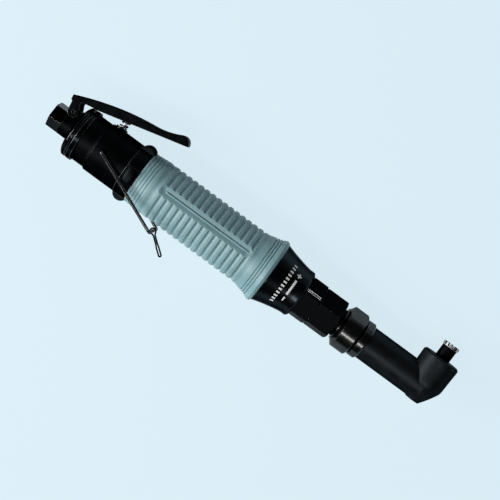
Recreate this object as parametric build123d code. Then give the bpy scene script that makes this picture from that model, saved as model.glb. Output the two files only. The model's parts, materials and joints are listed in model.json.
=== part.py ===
from build123d import *
import math
import os

# Right-angle pneumatic screwdriver, in millimetres.
# The origin is the centre of the air inlet's mouth. +X runs along the tool to the angle head, +Y is the side
# of the start lever and of the output spindle, and +Z is up as the tool lies on its side.

# Fits
slip = 0.03
running = 0.06
pass_gap = 0.3
same_place = 0.01

# Air inlet
inlet_hex_flats = 17.0
inlet_hex_length = 9.6
inlet_hex_turn = -15.0
inlet_hex_chamfer = 0.4
inlet_thread_radius = 5.7
inlet_thread_depth = 12.0
inlet_shank_radius = 6.6
inlet_shank_length = 10.0
inlet_passage_radius = 4.0
screen_radius = 5.0
screen_thickness = 1.0
screen_hole_radius = 0.8
screen_hole_circle = 2.8
screen_hole_count = 6

# Valve body
boss_radius = 9.8
boss_length = 9.1
core_radius = 14.0
body_radius = 19.25
waist_radius = 18.2
waist_end_from_rear = 19.4
waist_step = 1.4
valve_body_length = 46.1
lug_half_width = 7.0
lug_above_pivot = 3.0
lug_round = 1.6
exhaust_port_radius = 0.9
exhaust_port_circle = 15.3
exhaust_port_count = 8

# Exhaust deflector
deflector_radius = 19.7
deflector_length = 9.3
deflector_nose_depth = 2.4
deflector_nose_bulge = 0.8
outlet_groove_from_rear = 4.5
outlet_groove_width = 1.4
outlet_groove_floor = 17.2
outlet_chamber_radius = 16.4
outlet_chamber_depth = 5.6
outlet_slot_length = 6.0
outlet_slot_count = 8

# Start lever, with its outline as (distance in front of the pivot, height over the valve body)
lever_pivot_from_boss = 2.4
lever_pivot_below_body = 9.65
lever_pin_radius = 1.25
lever_ear_radius = 4.0
lever_cheek = 2.0
lever_plate = 1.9
lever_rear_top = (-6.6, 0.3)
lever_back_mid = (23.9, 10.9)
lever_back_end = (50.5, 15.75)
lever_tip_rise_end = (70.3, 21.95)
lever_tip_under = (78.0, 17.2)
lever_under_start = (14.2, 1.2)
lever_under_rear = (7.8, 0.3)
lever_throat_top = (1.1, -1.0)
lever_throat = (0.8, -2.6)
lever_heel = (-4.9, -3.95)
lever_heel_top = (-6.2, -3.2)
lever_channel_length = 64.2
lever_edge_round = 1.0

# Start valve
stem_from_rear = 26.4
stem_radius = 1.6
stem_tip_round = 1.4
stem_travel = 3.5
stem_collar_radius = 3.3
stem_collar_height = 0.8
stem_contact_gap = 0.3
bush_radius = 5.0
bush_flange_radius = 4.6
bush_flange_above_body = 1.0
bush_seat_height = 1.0
bush_guide_height = 8.0
bush_chamber_radius = 3.2
bush_throat_radius = 2.5
bush_port_radius = 2.4
inlet_passage_drop = 2.25
poppet_radius = 3.9
poppet_thickness = 2.4
poppet_seat_gap = 0.05
valve_chamber_floor_gap = 3.0
valve_spring_wire_radius = 0.5
valve_spring_turns = 2
valve_spring_radius = 2.75
valve_spring_reserve = 0.9

# Reverse ring
ring_width = 10.5
ring_wall = 2.75
lobe_rise = 3.5
lobe_edge_step = 0.4
lobe_front_rise = 1.4
lobe_apex_from_middle = 0.9
lobe_half_width = 5.9
lobe_side_round = 0.7
lobe_count = 4
lobe_turn = 6.0
reverse_swing = 24.0
reverse_stop_margin = 1.0
reverse_plate_thickness = 4.0
reverse_pin_radius = 1.2
reverse_pin_depth = 4.0
reverse_pin_cover = 1.0

# Hanger
bail_pivot_from_rear = 26.9
bail_pivot_drop = 0.3
bail_wire_radius = 1.15
bail_side_gap = 2.1
bail_reach = 58.7
bail_below_grip = 4.4
bail_hole_depth = 4.6
bail_bend_radius = 3.0
bail_end_bend_radius = 1.4
link_wire_radius = 0.6
link_inner_radius = 1.4
link_tip_inner_radius = 0.4
link_length = 17.8
link_angle = 38.7

# Motor housing and grip
housing_bore = 15.0
housing_wall = 2.5
housing_spigot_wall = 0.5
ring_seat_wall = 1.5
spigot_length = 8.0
spigot_lip = 2.0
grip_length = 112.2
grip_wall = 3.5
grip_rear_drop = 1.2
grip_swell_from_rear = 12.5
groove_first_from_rear = 19.5
groove_pitch = 5.2
groove_count = 16
groove_width = 2.6
groove_floor_width = 1.2
groove_depth = 0.8
fine_groove_depth = 0.5
fine_groove_width = 0.9
fine_groove_pitch = 1.8
rear_fine_groove_from_rear = 3.0
rear_fine_groove_count = 4
front_fine_groove_from_front = 9.6
front_fine_groove_count = 3
flare_rise = 3.9
flare_hollow = 0.45
flare_start_from_front = 13.2
flare_crest_from_front = 2.5
flare_lip_drop = 1.5
spine_from_swell = 2.0
spine_width = 7.7
spine_turn = 10.0
spine_root = 1.2
spine_rise = 0.15
spine_line_width = 0.9
spine_line_rise = 0.35

# Air motor
motor_fit = 0.05
end_plate_length = 7.0
motor_from_grip = 0.7
cylinder_length = 48.0
cylinder_bore = 11.2
bore_offset = 1.0
rotor_radius = 10.0
rotor_end_gap = 0.15
rotor_shaft_radius = 3.0
sun_shaft_radius = 2.0
vane_count = 5
vane_thickness = 1.5
vane_depth = 5.8
rotor_bearing_radius = 6.5
rotor_bearing_width = 4.5
dowel_radius = 0.9
dowel_circle = 13.1
dowel_reach = 5.0

# Planetary gear
gear_module = 0.7
sun_teeth = 12
planet_teeth = 12
planet_count = 3
pressure_angle = 20.0
gear_addendum = 0.8
ring_addendum = 0.5
gear_dedendum = 1.0
gear_backlash = 0.1
gear_face = 9.0
ring_gear_length = 15.0
ring_gear_from_plate = 2.0
sun_from_ring_gear = 1.0
planets_from_ring_gear = 3.0
planet_pin_radius = 1.5
carrier_radius = 11.2
carrier_thickness = 5.0
carrier_shaft_radius = 5.0
carrier_bearing_width = 6.0
axial_gap = 0.5

# Clutch
driver_thickness = 5.6
driver_radius = 11.4
driver_bore = 4.5
clutch_ball_radius = 2.0
clutch_ball_circle = 8.0
clutch_ball_count = 3
jaw_gap = 1.2
jaw_thickness = 6.8
clutch_spring_radius = 8.5
clutch_spring_wire_radius = 1.0
clutch_spring_turns = 6
adjuster_length = 10.0
adjuster_from_hex = 3.5
adjuster_notch_count = 8
adjuster_notch_width = 2.4
adjuster_notch_depth = 1.6
clutch_shaft_radius = 5.0
clutch_shaft_flats = 8.0
clutch_pilot_radius = 2.5
clutch_pilot_length = 4.6
tang_radius = 3.2
tang_thickness = 3.6
tang_length = 10.0

# Gear case and front housing
case_length = 27.1
case_rear_radius = 23.3
case_mid_radius = 20.5
case_front_radius = 18.2
case_mid_from_rear = 10.2
case_front_from_rear = 21.7
case_chamfer = 1.4
case_spigot_length = 7.3
case_spigot_wall = 1.4
case_bore = 13.8
front_spigot_length = 8.0
front_bore = 12.6
barrel_flats = 29.0
barrel_length = 12.6
slot_width = 1.7
slot_length = 11.5
slot_turn = 27.0
slot_edge = 0.35
front_hex_flats = 28.0
front_hex_length = 18.0
front_hex_turn = 15.0
hex_chamfer = 1.5
nose_radius = 10.5
nose_length = 12.0
shaft_bearing_radius = 8.0
shaft_bearing_width = 7.0
shaft_bearing_from_front = 4.0
shaft_passage_radius = 6.6

# Coupling
neck_gap = 3.2
washer_thickness = 0.8
washer_radius = 12.4
nut_radius = 16.4
nut_flats = 28.2
nut_flat_turn = 24.0
nut_length = 14.9
nut_rear_chamfer = (2.6, 3.6)
nut_front_chamfer = (1.5, 2.0)
flange_radius = 12.0
flange_thickness = 2.2
lock_ring_radius = 14.3
lock_ring_width = 7.1
lock_ring_chamfer = 1.2
head_neck_radius = 10.4

# Angle head
head_tube_radius = 12.6
head_reach = 50.0
head_radius = 14.35
head_lower_radius = 13.95
head_bottom = 13.1
head_bottom_radius = 5.4
head_taper_top = 4.0
head_taper_shoulder = (12.7, 0.8)
head_taper_bulge = (9.6, 6.6)
head_top = 20.8
cap_thickness = 2.0
cap_chamfer = 1.3
gear_chamber_radius = 9.2
gear_chamber_floor = 2.6
spindle_bearing_radius = 9.9
spindle_bearing_bottom = 12.0
spindle_bearing_width = 7.0
lower_bush_radius = 4.2
lower_bush_length = 6.0
lower_bush_drop = 4.0
pinion_bore_radius = 8.0
pinion_bore_step = 1.0
pinion_bearing_width = 6.0
rear_pinion_bearing_from_flange = 7.0
front_pinion_bearing_from_axis = 21.2
pinion_shaft_radius = 4.0
pinion_socket_radius = 5.8
pinion_socket_length = 15.0
pinion_hub_radius = 4.6

# Bevel gears
bevel_module = 0.9
pinion_teeth = 12
bevel_teeth = 18
bevel_face_share = 0.6
bevel_far_share = 1.3
bevel_backlash = 0.16
bevel_rim_radius = 7.4
bevel_rim_thickness = 1.6
bevel_hub_radius = 6.5

# Output spindle
spindle_radius = 5.6
spindle_out = 9.4
spindle_journal_radius = 5.0
spindle_gear_seat_radius = 3.6
spindle_gear_shoulder = 10.5
spindle_stub_radius = 3.0
spindle_stub_drop = 9.5
bit_hex_flats = 6.4
bit_socket_depth = 14.0
end_ring_radius = 6.2
end_ring_height = 2.4
end_ring_seat_radius = 4.3
end_ring_seat_height = 0.8
end_ring_slot_count = 12
end_ring_slot_width = 1.5
end_ring_slot_floor = 0.4

# Places along the tool, from the air inlet to the output spindle
boss_x = inlet_hex_length
lever_pivot_x = boss_x + lever_pivot_from_boss
rear_x = boss_x + boss_length
deflector_end_x = rear_x + deflector_length
waist_end_x = rear_x + waist_end_from_rear
stem_x = rear_x + stem_from_rear
bail_x = rear_x + bail_pivot_from_rear
body_end_x = rear_x + valve_body_length
grip_x = body_end_x + ring_width
grip_end_x = grip_x + grip_length
case_end_x = grip_end_x + case_length
front_hex_x = case_end_x + barrel_length
front_end_x = front_hex_x + front_hex_length
nose_end_x = front_end_x + nose_length
nut_x = front_end_x + neck_gap
nut_end_x = nut_x + nut_length
lock_end_x = nut_end_x + lock_ring_width
head_x = lock_end_x + head_reach
flange_end_x = nose_end_x + flange_thickness

# Places inside the motor housing
rear_plate_x = grip_x + motor_from_grip
cylinder_x = rear_plate_x + end_plate_length
front_plate_x = cylinder_x + cylinder_length
front_plate_end_x = front_plate_x + end_plate_length
ring_gear_x = front_plate_end_x + ring_gear_from_plate
sun_x = ring_gear_x + sun_from_ring_gear
planet_x = ring_gear_x + planets_from_ring_gear
carrier_x = planet_x + gear_face + axial_gap
carrier_bearing_x = carrier_x + carrier_thickness + axial_gap
driver_x = carrier_bearing_x + carrier_bearing_width + axial_gap
driver_end_x = driver_x + driver_thickness
jaw_x = driver_end_x + jaw_gap
jaw_end_x = jaw_x + jaw_thickness
adjuster_end_x = front_hex_x - adjuster_from_hex
adjuster_x = adjuster_end_x - adjuster_length
clutch_spring_length = adjuster_x - jaw_end_x
shaft_bearing_end_x = front_end_x - shaft_bearing_from_front
shaft_bearing_x = shaft_bearing_end_x - shaft_bearing_width
tang_end_x = shaft_bearing_end_x + axial_gap + tang_length
rear_pinion_bearing_x = flange_end_x + rear_pinion_bearing_from_flange
front_pinion_bearing_x = head_x - front_pinion_bearing_from_axis

# Radii and heights that follow from the pieces they fit
lever_pivot_y = body_radius - lever_pivot_below_body
lever_half_width = lug_half_width + pass_gap + lever_cheek
bail_half_width = body_radius + bail_side_gap + bail_wire_radius
valve_chamber_depth = poppet_seat_gap + poppet_thickness + stem_travel + valve_chamber_floor_gap
valve_spring_height = 2 * valve_spring_wire_radius * valve_spring_turns + stem_travel + valve_spring_reserve
collar_y = body_radius + bush_flange_above_body + valve_spring_height
motor_radius = housing_bore - motor_fit
spigot_radius = housing_bore + housing_spigot_wall
ring_seat_radius = housing_bore + ring_seat_wall
ring_radius = ring_seat_radius + ring_wall
lobe_radius = ring_radius + lobe_rise
case_spigot_radius = housing_bore + case_spigot_wall
housing_radius = housing_bore + housing_wall
grip_radius = housing_radius + grip_wall
grip_rear_radius = grip_radius - grip_rear_drop
flare_radius = grip_radius + flare_rise
adjuster_radius = front_bore - pass_gap
bail_end_drop = grip_radius + bail_below_grip - bail_pivot_drop
bail_leg_length = math.hypot(bail_reach, bail_end_drop)
bail_leg_angle = math.degrees(math.atan2(bail_end_drop, bail_reach))

# Heights on the output spindle
cap_top_y = head_top + cap_thickness
spindle_end_y = cap_top_y + spindle_out
bit_mouth_y = spindle_end_y + end_ring_height


def turned(points):
    """Solid of revolution about X of a closed outline of (x, radius) points."""
    return revolve(make_face(Polyline(*points, close=True)), Axis.X, 360)


def turned_on_spindle(points):
    """Solid of revolution about the output spindle of a closed outline of (radius, y) points."""
    outline = [(head_x + radius, y) for radius, y in points]
    return revolve(make_face(Polyline(*outline, close=True)), Axis((head_x, 0, 0), (0, 1, 0)), 360)


def rod(start, end, radius, y=0.0, z=0.0):
    return Pos((start + end) / 2, y, z) * Rot(0, 90, 0) * Cylinder(radius, end - start)


def sleeve(start, end, outer, inner):
    return rod(start, end, outer) - rod(start, end, inner)


def post(bottom, top, radius, x, z=0.0):
    return Pos(x, (bottom + top) / 2, z) * Rot(90, 0, 0) * Cylinder(radius, top - bottom)


def cross_pin(half_length, radius, x, y):
    return Pos(x, y, 0) * Cylinder(radius, 2 * half_length)


def block(x0, x1, y0, y1, z0, z1):
    return Pos((x0 + x1) / 2, (y0 + y1) / 2, (z0 + z1) / 2) * Box(x1 - x0, y1 - y0, z1 - z0)


def around(count, first=0.0):
    """Angles about X, measured from +Y towards +Z."""
    return [first + 360 / count * index for index in range(count)]


def hex_bar(start, end, flats, turn):
    outline = RegularPolygon(flats / 2, 6, major_radius=False, rotation=turn)
    return extrude(Plane.YZ.offset(start) * outline, end - start)


def hex_nut_blank(start, end, flats, turn, chamfer):
    """Hexagon bar whose corners are turned back at both ends."""
    corner = flats / math.sqrt(3)
    end_radius = corner - chamfer
    run = chamfer * math.tan(math.radians(30))
    turned_back = turned([
        (start, 0),
        (start, end_radius),
        (start + run, corner),
        (end - run, corner),
        (end, end_radius),
        (end, 0),
    ])
    return hex_bar(start, end, flats, turn) & turned_back


def involute(angle):
    return math.tan(angle) - angle


def half_tooth_angle(radius, pitch_radius, teeth, backlash):
    """Half of a tooth's angular thickness at a radius of an involute gear."""
    pressure = math.radians(pressure_angle)
    base_radius = pitch_radius * math.cos(pressure)
    at_pitch = math.pi / (2 * teeth) - backlash / (2 * pitch_radius)
    here = math.acos(min(1.0, base_radius / radius))
    return at_pitch + involute(pressure) - involute(here)


def tooth_points(root, pitch_radius, tip, teeth, virtual_teeth, backlash):
    """Points of (radius, angle) across one tooth, from root to tip and back."""
    stretch = virtual_teeth / teeth
    rising = []
    for radius in (root, pitch_radius, tip):
        half = half_tooth_angle(radius, pitch_radius, virtual_teeth, backlash)
        rising.append((radius, -half * stretch))
    falling = [(radius, -angle) for radius, angle in reversed(rising)]
    return rising + falling


def gear_outline(teeth, root, pitch_radius, tip, backlash, first):
    points = []
    for index in range(teeth):
        centre = math.radians(first) + 2 * math.pi * index / teeth
        for radius, angle in tooth_points(root, pitch_radius, tip, teeth, teeth, backlash):
            points.append((radius * math.cos(centre + angle), radius * math.sin(centre + angle)))
    return make_face(Polyline(*points, close=True))


def spur_gear(start, length, teeth, first):
    pitch_radius = gear_module * teeth / 2
    root = pitch_radius - gear_dedendum * gear_module
    tip = pitch_radius + gear_addendum * gear_module
    outline = gear_outline(teeth, root, pitch_radius, tip, gear_backlash, first)
    return extrude(Plane.YZ.offset(start) * outline, length)


def bevel_outline(teeth, mate_teeth, first):
    """Tooth outline of a bevel gear, seen from the apex, in the plane of its pitch circle."""
    pitch_radius = bevel_module * teeth / 2
    axial = bevel_module * mate_teeth / 2
    cone = math.atan2(teeth, mate_teeth)
    virtual_radius = pitch_radius / math.cos(cone)
    virtual_teeth = teeth / math.cos(cone)
    root = virtual_radius - gear_dedendum * bevel_module
    tip = virtual_radius + gear_addendum * bevel_module
    points = []
    for index in range(teeth):
        centre = math.radians(first) + 2 * math.pi * index / teeth
        for radius, angle in tooth_points(root, virtual_radius, tip, teeth, virtual_teeth, bevel_backlash):
            height = radius - virtual_radius
            to_axis = pitch_radius + height * math.cos(cone)
            from_apex = axial - height * math.sin(cone)
            in_plane = to_axis * axial / from_apex
            points.append((in_plane * math.cos(centre + angle), in_plane * math.sin(centre + angle)))
    return points


def bevel_teeth_solid(apex_plane, teeth, mate_teeth, first):
    """Straight teeth that run towards the apex, between an inner plane and the back cone."""
    pitch_radius = bevel_module * teeth / 2
    axial = bevel_module * mate_teeth / 2
    outline = bevel_outline(teeth, mate_teeth, first)
    sections = []
    for share in (bevel_face_share, bevel_far_share):
        points = [(u * share, v * share) for u, v in outline]
        sections.append(apex_plane.offset(axial * share) * make_face(Polyline(*points, close=True)))
    inner = axial * bevel_face_share
    outer = bevel_back(teeth, mate_teeth)
    inner_radius = pitch_radius + (axial - inner) * axial / pitch_radius
    outer_radius = pitch_radius + (axial - outer) * axial / pitch_radius
    blank = Cone(inner_radius, outer_radius, outer - inner)
    return loft(sections, ruled=True) & (apex_plane.location * Pos(0, 0, (inner + outer) / 2) * blank)


def bevel_back(teeth, mate_teeth):
    """Distance from the apex, along the gear's axis, to the root circle on the back cone."""
    cone = math.atan2(teeth, mate_teeth)
    return bevel_module * (mate_teeth / 2 + gear_dedendum * math.sin(cone))


def helix_biarcs(radius, height, turns):
    """Edges of a helix about +Z, two arcs for each half turn."""
    steps = 2 * turns
    rise = height / (2 * math.pi * turns)
    length = math.hypot(radius, rise)
    edges = []
    for index in range(steps):
        ends = []
        for angle in (index * math.pi, (index + 1) * math.pi):
            place = Vector(radius * math.cos(angle), radius * math.sin(angle), rise * angle)
            heading = Vector(-radius * math.sin(angle), radius * math.cos(angle), rise) / length
            ends.append((place, heading))
        (p0, t0), (p1, t1) = ends
        chord = p1 - p0
        spread = 2 * (1 - t0.dot(t1))
        along = chord.dot(t0 + t1)
        reach = (math.sqrt(along * along + spread * chord.dot(chord)) - along) / spread
        middle = (p0 + p1 + (t0 - t1) * reach) / 2
        first = TangentArc(p0, middle, tangent=t0)
        edges.append(first)
        edges.append(TangentArc(middle, p1, tangent=first % 1))
    return edges


def coil(name, radius, wire_radius, height, turns):
    """One unbroken coil of round wire about +Z, from z = 0 to z = height."""
    path_height = height - 2 * wire_radius
    path = Wire(helix_biarcs(radius, path_height, turns))
    start = path.position_at(0)
    section = Plane(start, z_dir=path.tangent_at(0)) * Circle(wire_radius)
    samples_per_turn = 40
    count = samples_per_turn * turns
    samples = [path.position_at(index / count) for index in range(count + 1)]
    least = min(
        (samples[i] - samples[j]).length
        for i in range(len(samples))
        for j in range(i + samples_per_turn // 2, len(samples))
    )
    print(name, "least gap between turns, mm:", round(least - 2 * wire_radius, 2))
    return Pos(0, 0, wire_radius) * sweep(section, path)


def circle_through(first, middle, last):
    """Centre and radius of the circle through three points."""
    ax, ay = first
    bx, by = middle
    cx, cy = last
    scale = 2 * (ax * (by - cy) + bx * (cy - ay) + cx * (ay - by))
    a2 = ax * ax + ay * ay
    b2 = bx * bx + by * by
    c2 = cx * cx + cy * cy
    x = (a2 * (by - cy) + b2 * (cy - ay) + c2 * (ay - by)) / scale
    y = (a2 * (cx - bx) + b2 * (ax - cx) + c2 * (bx - ax)) / scale
    return x, y, math.hypot(ax - x, ay - y)


def lever_point(place):
    ahead, over_body = place
    return lever_pivot_x + ahead, body_radius + over_body


def lever_back_circle():
    return circle_through(
        lever_point(lever_rear_top),
        lever_point(lever_back_mid),
        lever_point(lever_back_end),
    )


def lever_underside(x):
    """Height of the lever plate's underside at a place along the tool."""
    centre_x, centre_y, radius = lever_back_circle()
    inner = radius - lever_plate
    return centre_y + math.sqrt(inner * inner - (x - centre_x) ** 2)


# Air inlet

def inlet_bushing():
    shank_end = boss_x + inlet_shank_length
    blank = hex_nut_blank(0, boss_x, inlet_hex_flats, inlet_hex_turn, inlet_hex_chamfer)
    blank += rod(boss_x, shank_end, inlet_shank_radius)
    blank -= rod(0, inlet_thread_depth, inlet_thread_radius)
    blank -= rod(inlet_thread_depth, inlet_thread_depth + screen_thickness, screen_radius)
    return blank - rod(inlet_thread_depth, shank_end, inlet_passage_radius)


def inlet_screen():
    start = inlet_thread_depth
    end = start + screen_thickness
    disc = rod(start, end, screen_radius - slip) - rod(start, end, screen_hole_radius)
    for angle in around(screen_hole_count):
        y = screen_hole_circle * math.cos(math.radians(angle))
        z = screen_hole_circle * math.sin(math.radians(angle))
        disc -= rod(start, end, screen_hole_radius, y, z)
    return disc


# Valve body

def valve_body():
    body = turned([
        (boss_x, 0),
        (boss_x, boss_radius),
        (rear_x, boss_radius),
        (rear_x, core_radius),
        (deflector_end_x, core_radius),
        (deflector_end_x, waist_radius),
        (waist_end_x, waist_radius),
        (waist_end_x + waist_step, body_radius),
        (body_end_x, body_radius),
        (body_end_x, 0),
    ])
    lug_top = lever_pivot_y + lug_above_pivot
    lug = block(boss_x, rear_x, 0, lug_top, -lug_half_width, lug_half_width)
    lug = fillet(lug.edges().filter_by(Axis.Z).sort_by(Axis.Y)[-2:], lug_round)
    body += lug
    for side in (-1, 1):
        ear_middle = side * (lug_half_width + boss_radius) / 2
        clear = Cylinder(lever_ear_radius + pass_gap, boss_radius - lug_half_width)
        body -= Pos(lever_pivot_x, lever_pivot_y, ear_middle) * clear
    body -= cross_pin(lug_half_width, lever_pin_radius + slip, lever_pivot_x, lever_pivot_y)
    body -= rod(boss_x, boss_x + inlet_shank_length, inlet_shank_radius + slip)
    body -= rod(boss_x + inlet_shank_length, stem_x, inlet_passage_radius, -inlet_passage_drop)
    body -= post(-valve_chamber_depth, 0, bush_radius + slip, stem_x)
    body -= post(0, body_radius, bush_radius + slip, stem_x)
    outlet_y = bush_guide_height / 2
    body -= rod(stem_x, body_end_x, bush_port_radius, outlet_y)
    spigot_x = body_end_x - spigot_length
    body -= rod(spigot_x, body_end_x, spigot_radius + slip)
    for angle in around(exhaust_port_count, 180 / exhaust_port_count):
        y = exhaust_port_circle * math.cos(math.radians(angle))
        z = exhaust_port_circle * math.sin(math.radians(angle))
        body -= rod(deflector_end_x, spigot_x, exhaust_port_radius, y, z)
    hole_length = bail_hole_depth + bail_wire_radius
    for side in (-1, 1):
        hole = Cylinder(bail_wire_radius + running, 2 * hole_length)
        body -= Pos(bail_x, -bail_pivot_drop, side * body_radius) * hole
    return body


def exhaust_deflector():
    inner = core_radius + slip
    groove_x = rear_x + outlet_groove_from_rear
    groove_end_x = groove_x + outlet_groove_width
    nose_end = rear_x + deflector_nose_depth
    chamber_x = deflector_end_x - outlet_chamber_depth
    nose = SagittaArc((rear_x, inner), (nose_end, deflector_radius), deflector_nose_bulge)
    rest = Polyline(
        (nose_end, deflector_radius),
        (groove_x, deflector_radius),
        (groove_x, outlet_groove_floor),
        (groove_end_x, outlet_groove_floor),
        (groove_end_x, deflector_radius),
        (deflector_end_x, deflector_radius),
        (deflector_end_x, outlet_chamber_radius),
        (chamber_x, outlet_chamber_radius),
        (chamber_x, inner),
        (rear_x, inner),
    )
    shell = revolve(make_face(nose + rest), Axis.X, 360)
    slot = block(
        groove_x, groove_end_x,
        inner, deflector_radius,
        -outlet_slot_length / 2, outlet_slot_length / 2,
    )
    for angle in around(outlet_slot_count, 180 / outlet_slot_count):
        shell -= Rot(angle, 0, 0) * slot
    return shell


# Start lever and valve

def lever():
    pivot = (lever_pivot_x, lever_pivot_y)
    ear_rear = (pivot[0] - lever_ear_radius, pivot[1])
    ear_front = (pivot[0] + lever_ear_radius, pivot[1])
    ear_bottom = (pivot[0], pivot[1] - lever_ear_radius)
    rear_top = lever_point(lever_rear_top)
    back = ThreePointArc(rear_top, lever_point(lever_back_mid), lever_point(lever_back_end))
    rise = TangentArc(back @ 1, lever_point(lever_tip_rise_end), tangent=back % 1)
    tip = TangentArc(rise @ 1, lever_point(lever_tip_under), tangent=rise % 1)
    under = Polyline(
        tip @ 1,
        lever_point(lever_under_start),
        lever_point(lever_under_rear),
        lever_point(lever_throat_top),
        lever_point(lever_throat),
        ear_front,
    )
    ear = ThreePointArc(ear_front, ear_bottom, ear_rear)
    heel = Polyline(ear_rear, lever_point(lever_heel), lever_point(lever_heel_top), rear_top)
    outline = make_face(back + rise + tip + under + ear + heel)
    blank = extrude(outline, lever_half_width, both=True)
    centre_x, centre_y, radius = lever_back_circle()
    channel = Pos(centre_x, centre_y, 0) * Cylinder(radius - lever_plate, 2 * (lug_half_width + pass_gap))
    channel_end = lever_pivot_x + lever_channel_length
    reach = block(0, channel_end, 0, radius, -lever_half_width, lever_half_width)
    upper_edges = blank.edges().filter_by(GeomType.CIRCLE).filter_by(
        lambda edge: edge.center().Y > rear_top[1]
    )
    blank = fillet(upper_edges, lever_edge_round)
    blank -= channel & reach
    return blank - cross_pin(lever_half_width, lever_pin_radius + running, *pivot)


def lever_pin():
    return cross_pin(lever_half_width, lever_pin_radius, lever_pivot_x, lever_pivot_y)


def valve_bush():
    top = body_radius + bush_flange_above_body
    bush = post(0, body_radius, bush_radius, stem_x)
    bush += post(body_radius, top, bush_flange_radius, stem_x)
    bush -= post(bush_guide_height, top, stem_radius + running, stem_x)
    bush -= post(bush_seat_height, bush_guide_height, bush_chamber_radius, stem_x)
    bush -= post(0, bush_seat_height, bush_throat_radius, stem_x)
    return bush - rod(stem_x, stem_x + 2 * bush_radius, bush_port_radius, bush_guide_height / 2)


def valve_stem():
    top = lever_underside(stem_x) - stem_contact_gap
    bottom = -poppet_seat_gap - poppet_thickness
    stem = post(bottom, top, stem_radius, stem_x)
    stem = fillet(stem.edges().sort_by(Axis.Y)[-1], stem_tip_round)
    return stem + post(collar_y, collar_y + stem_collar_height, stem_collar_radius, stem_x)


def valve_poppet():
    top = -poppet_seat_gap
    disc = post(top - poppet_thickness, top, poppet_radius, stem_x)
    return disc - post(top - poppet_thickness, top, stem_radius + slip, stem_x)


def valve_spring():
    wound = coil("valve_spring", valve_spring_radius, valve_spring_wire_radius, valve_spring_height,
                 valve_spring_turns)
    return Pos(stem_x, body_radius + bush_flange_above_body, 0) * Rot(-90, 0, 0) * wound


# Reverse ring

def reverse_ring():
    start = body_end_x + pass_gap / 2
    end = grip_x - pass_gap / 2
    middle = (start + end) / 2
    ring = sleeve(start, end, ring_radius, ring_seat_radius + running)
    foot = ring_radius - lobe_edge_step
    wall_middle = (ring_seat_radius + ring_radius) / 2
    front = foot + lobe_front_rise
    dome_edge = ThreePointArc((start, foot), (middle + lobe_apex_from_middle, lobe_radius), (end, front))
    dome_base = Polyline((end, front), (end, wall_middle), (start, wall_middle), (start, foot))
    dome = revolve(make_face(dome_edge + dome_base), Axis.X, 360)
    wedge = block(start, end, ring_seat_radius, 2 * lobe_radius, -lobe_half_width, lobe_half_width)
    lobe = dome & wedge
    side_edges = lobe.edges().filter_by(
        lambda edge: abs(abs(edge.center().Z) - lobe_half_width) < same_place
    )
    lobe = fillet(side_edges.sort_by(Axis.Y)[-2:], lobe_side_round)
    for angle in around(lobe_count, lobe_turn):
        ring += Rot(angle, 0, 0) * lobe
    for angle in around(2, 90 + lobe_turn):
        ring -= Rot(angle, 0, 0) * post(0, ring_radius - reverse_pin_cover, reverse_pin_radius + slip, middle)
    return ring


def reverse_pins():
    middle = body_end_x + ring_width / 2
    pin = post(housing_bore - reverse_pin_depth, ring_radius - reverse_pin_cover, reverse_pin_radius, middle)
    return Compound([Rot(angle, 0, 0) * pin for angle in around(2, 90 + lobe_turn)])


def reverse_plate():
    middle = body_end_x + ring_width / 2
    start = middle - reverse_plate_thickness / 2
    end = middle + reverse_plate_thickness / 2
    plate = rod(start, end, housing_bore - running)
    pin_hole = post(housing_bore - reverse_pin_depth, housing_bore, reverse_pin_radius + slip, middle)
    for angle in around(2, 90 + lobe_turn):
        plate -= Rot(angle, 0, 0) * pin_hole
    for angle in around(4, 45):
        plate -= Rot(angle, 0, 0) * rod(start, end, bush_port_radius, housing_bore / 2)
    return plate


# Hanger

def hanger_bail():
    leg = Vector(bail_leg_length, 0, 0).rotate(Axis.Z, -bail_leg_angle)
    pivot = Vector(bail_x, -bail_pivot_drop, 0)
    inside = Vector(0, 0, body_radius - bail_hole_depth)
    side = Vector(0, 0, bail_half_width)
    path = FilletPolyline(
        pivot + inside,
        pivot + side,
        pivot + side + leg,
        pivot - side + leg,
        pivot - side,
        pivot - inside,
        radius=[bail_end_bend_radius, bail_bend_radius, bail_bend_radius, bail_end_bend_radius],
    )
    return sweep(Plane(pivot + inside, z_dir=(0, 0, 1)) * Circle(bail_wire_radius), path)


def hanger_link():
    eye = link_inner_radius + link_wire_radius
    tip = link_tip_inner_radius + link_wire_radius
    lean = math.asin((eye - tip) / link_length)
    eye_x, eye_y = eye * math.sin(lean), eye * math.cos(lean)
    tip_x, tip_y = link_length + tip * math.sin(lean), tip * math.cos(lean)
    run = Line((eye_x, eye_y), (tip_x, tip_y))
    front = ThreePointArc(run @ 1, (link_length + tip, 0), (tip_x, -tip_y))
    back_run = Line(front @ 1, (eye_x, -eye_y))
    rear = ThreePointArc(back_run @ 1, (-eye, 0), run @ 0)
    path = Wire([run, front, back_run, rear])
    wire = sweep(Plane(run @ 0, z_dir=run % 0) * Circle(link_wire_radius), path)
    leg = Vector(bail_leg_length, 0, 0).rotate(Axis.Z, -bail_leg_angle)
    return Pos(bail_x + leg.X, leg.Y - bail_pivot_drop, 0) * Rot(0, 0, -link_angle) * wire


# Motor housing and grip

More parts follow.
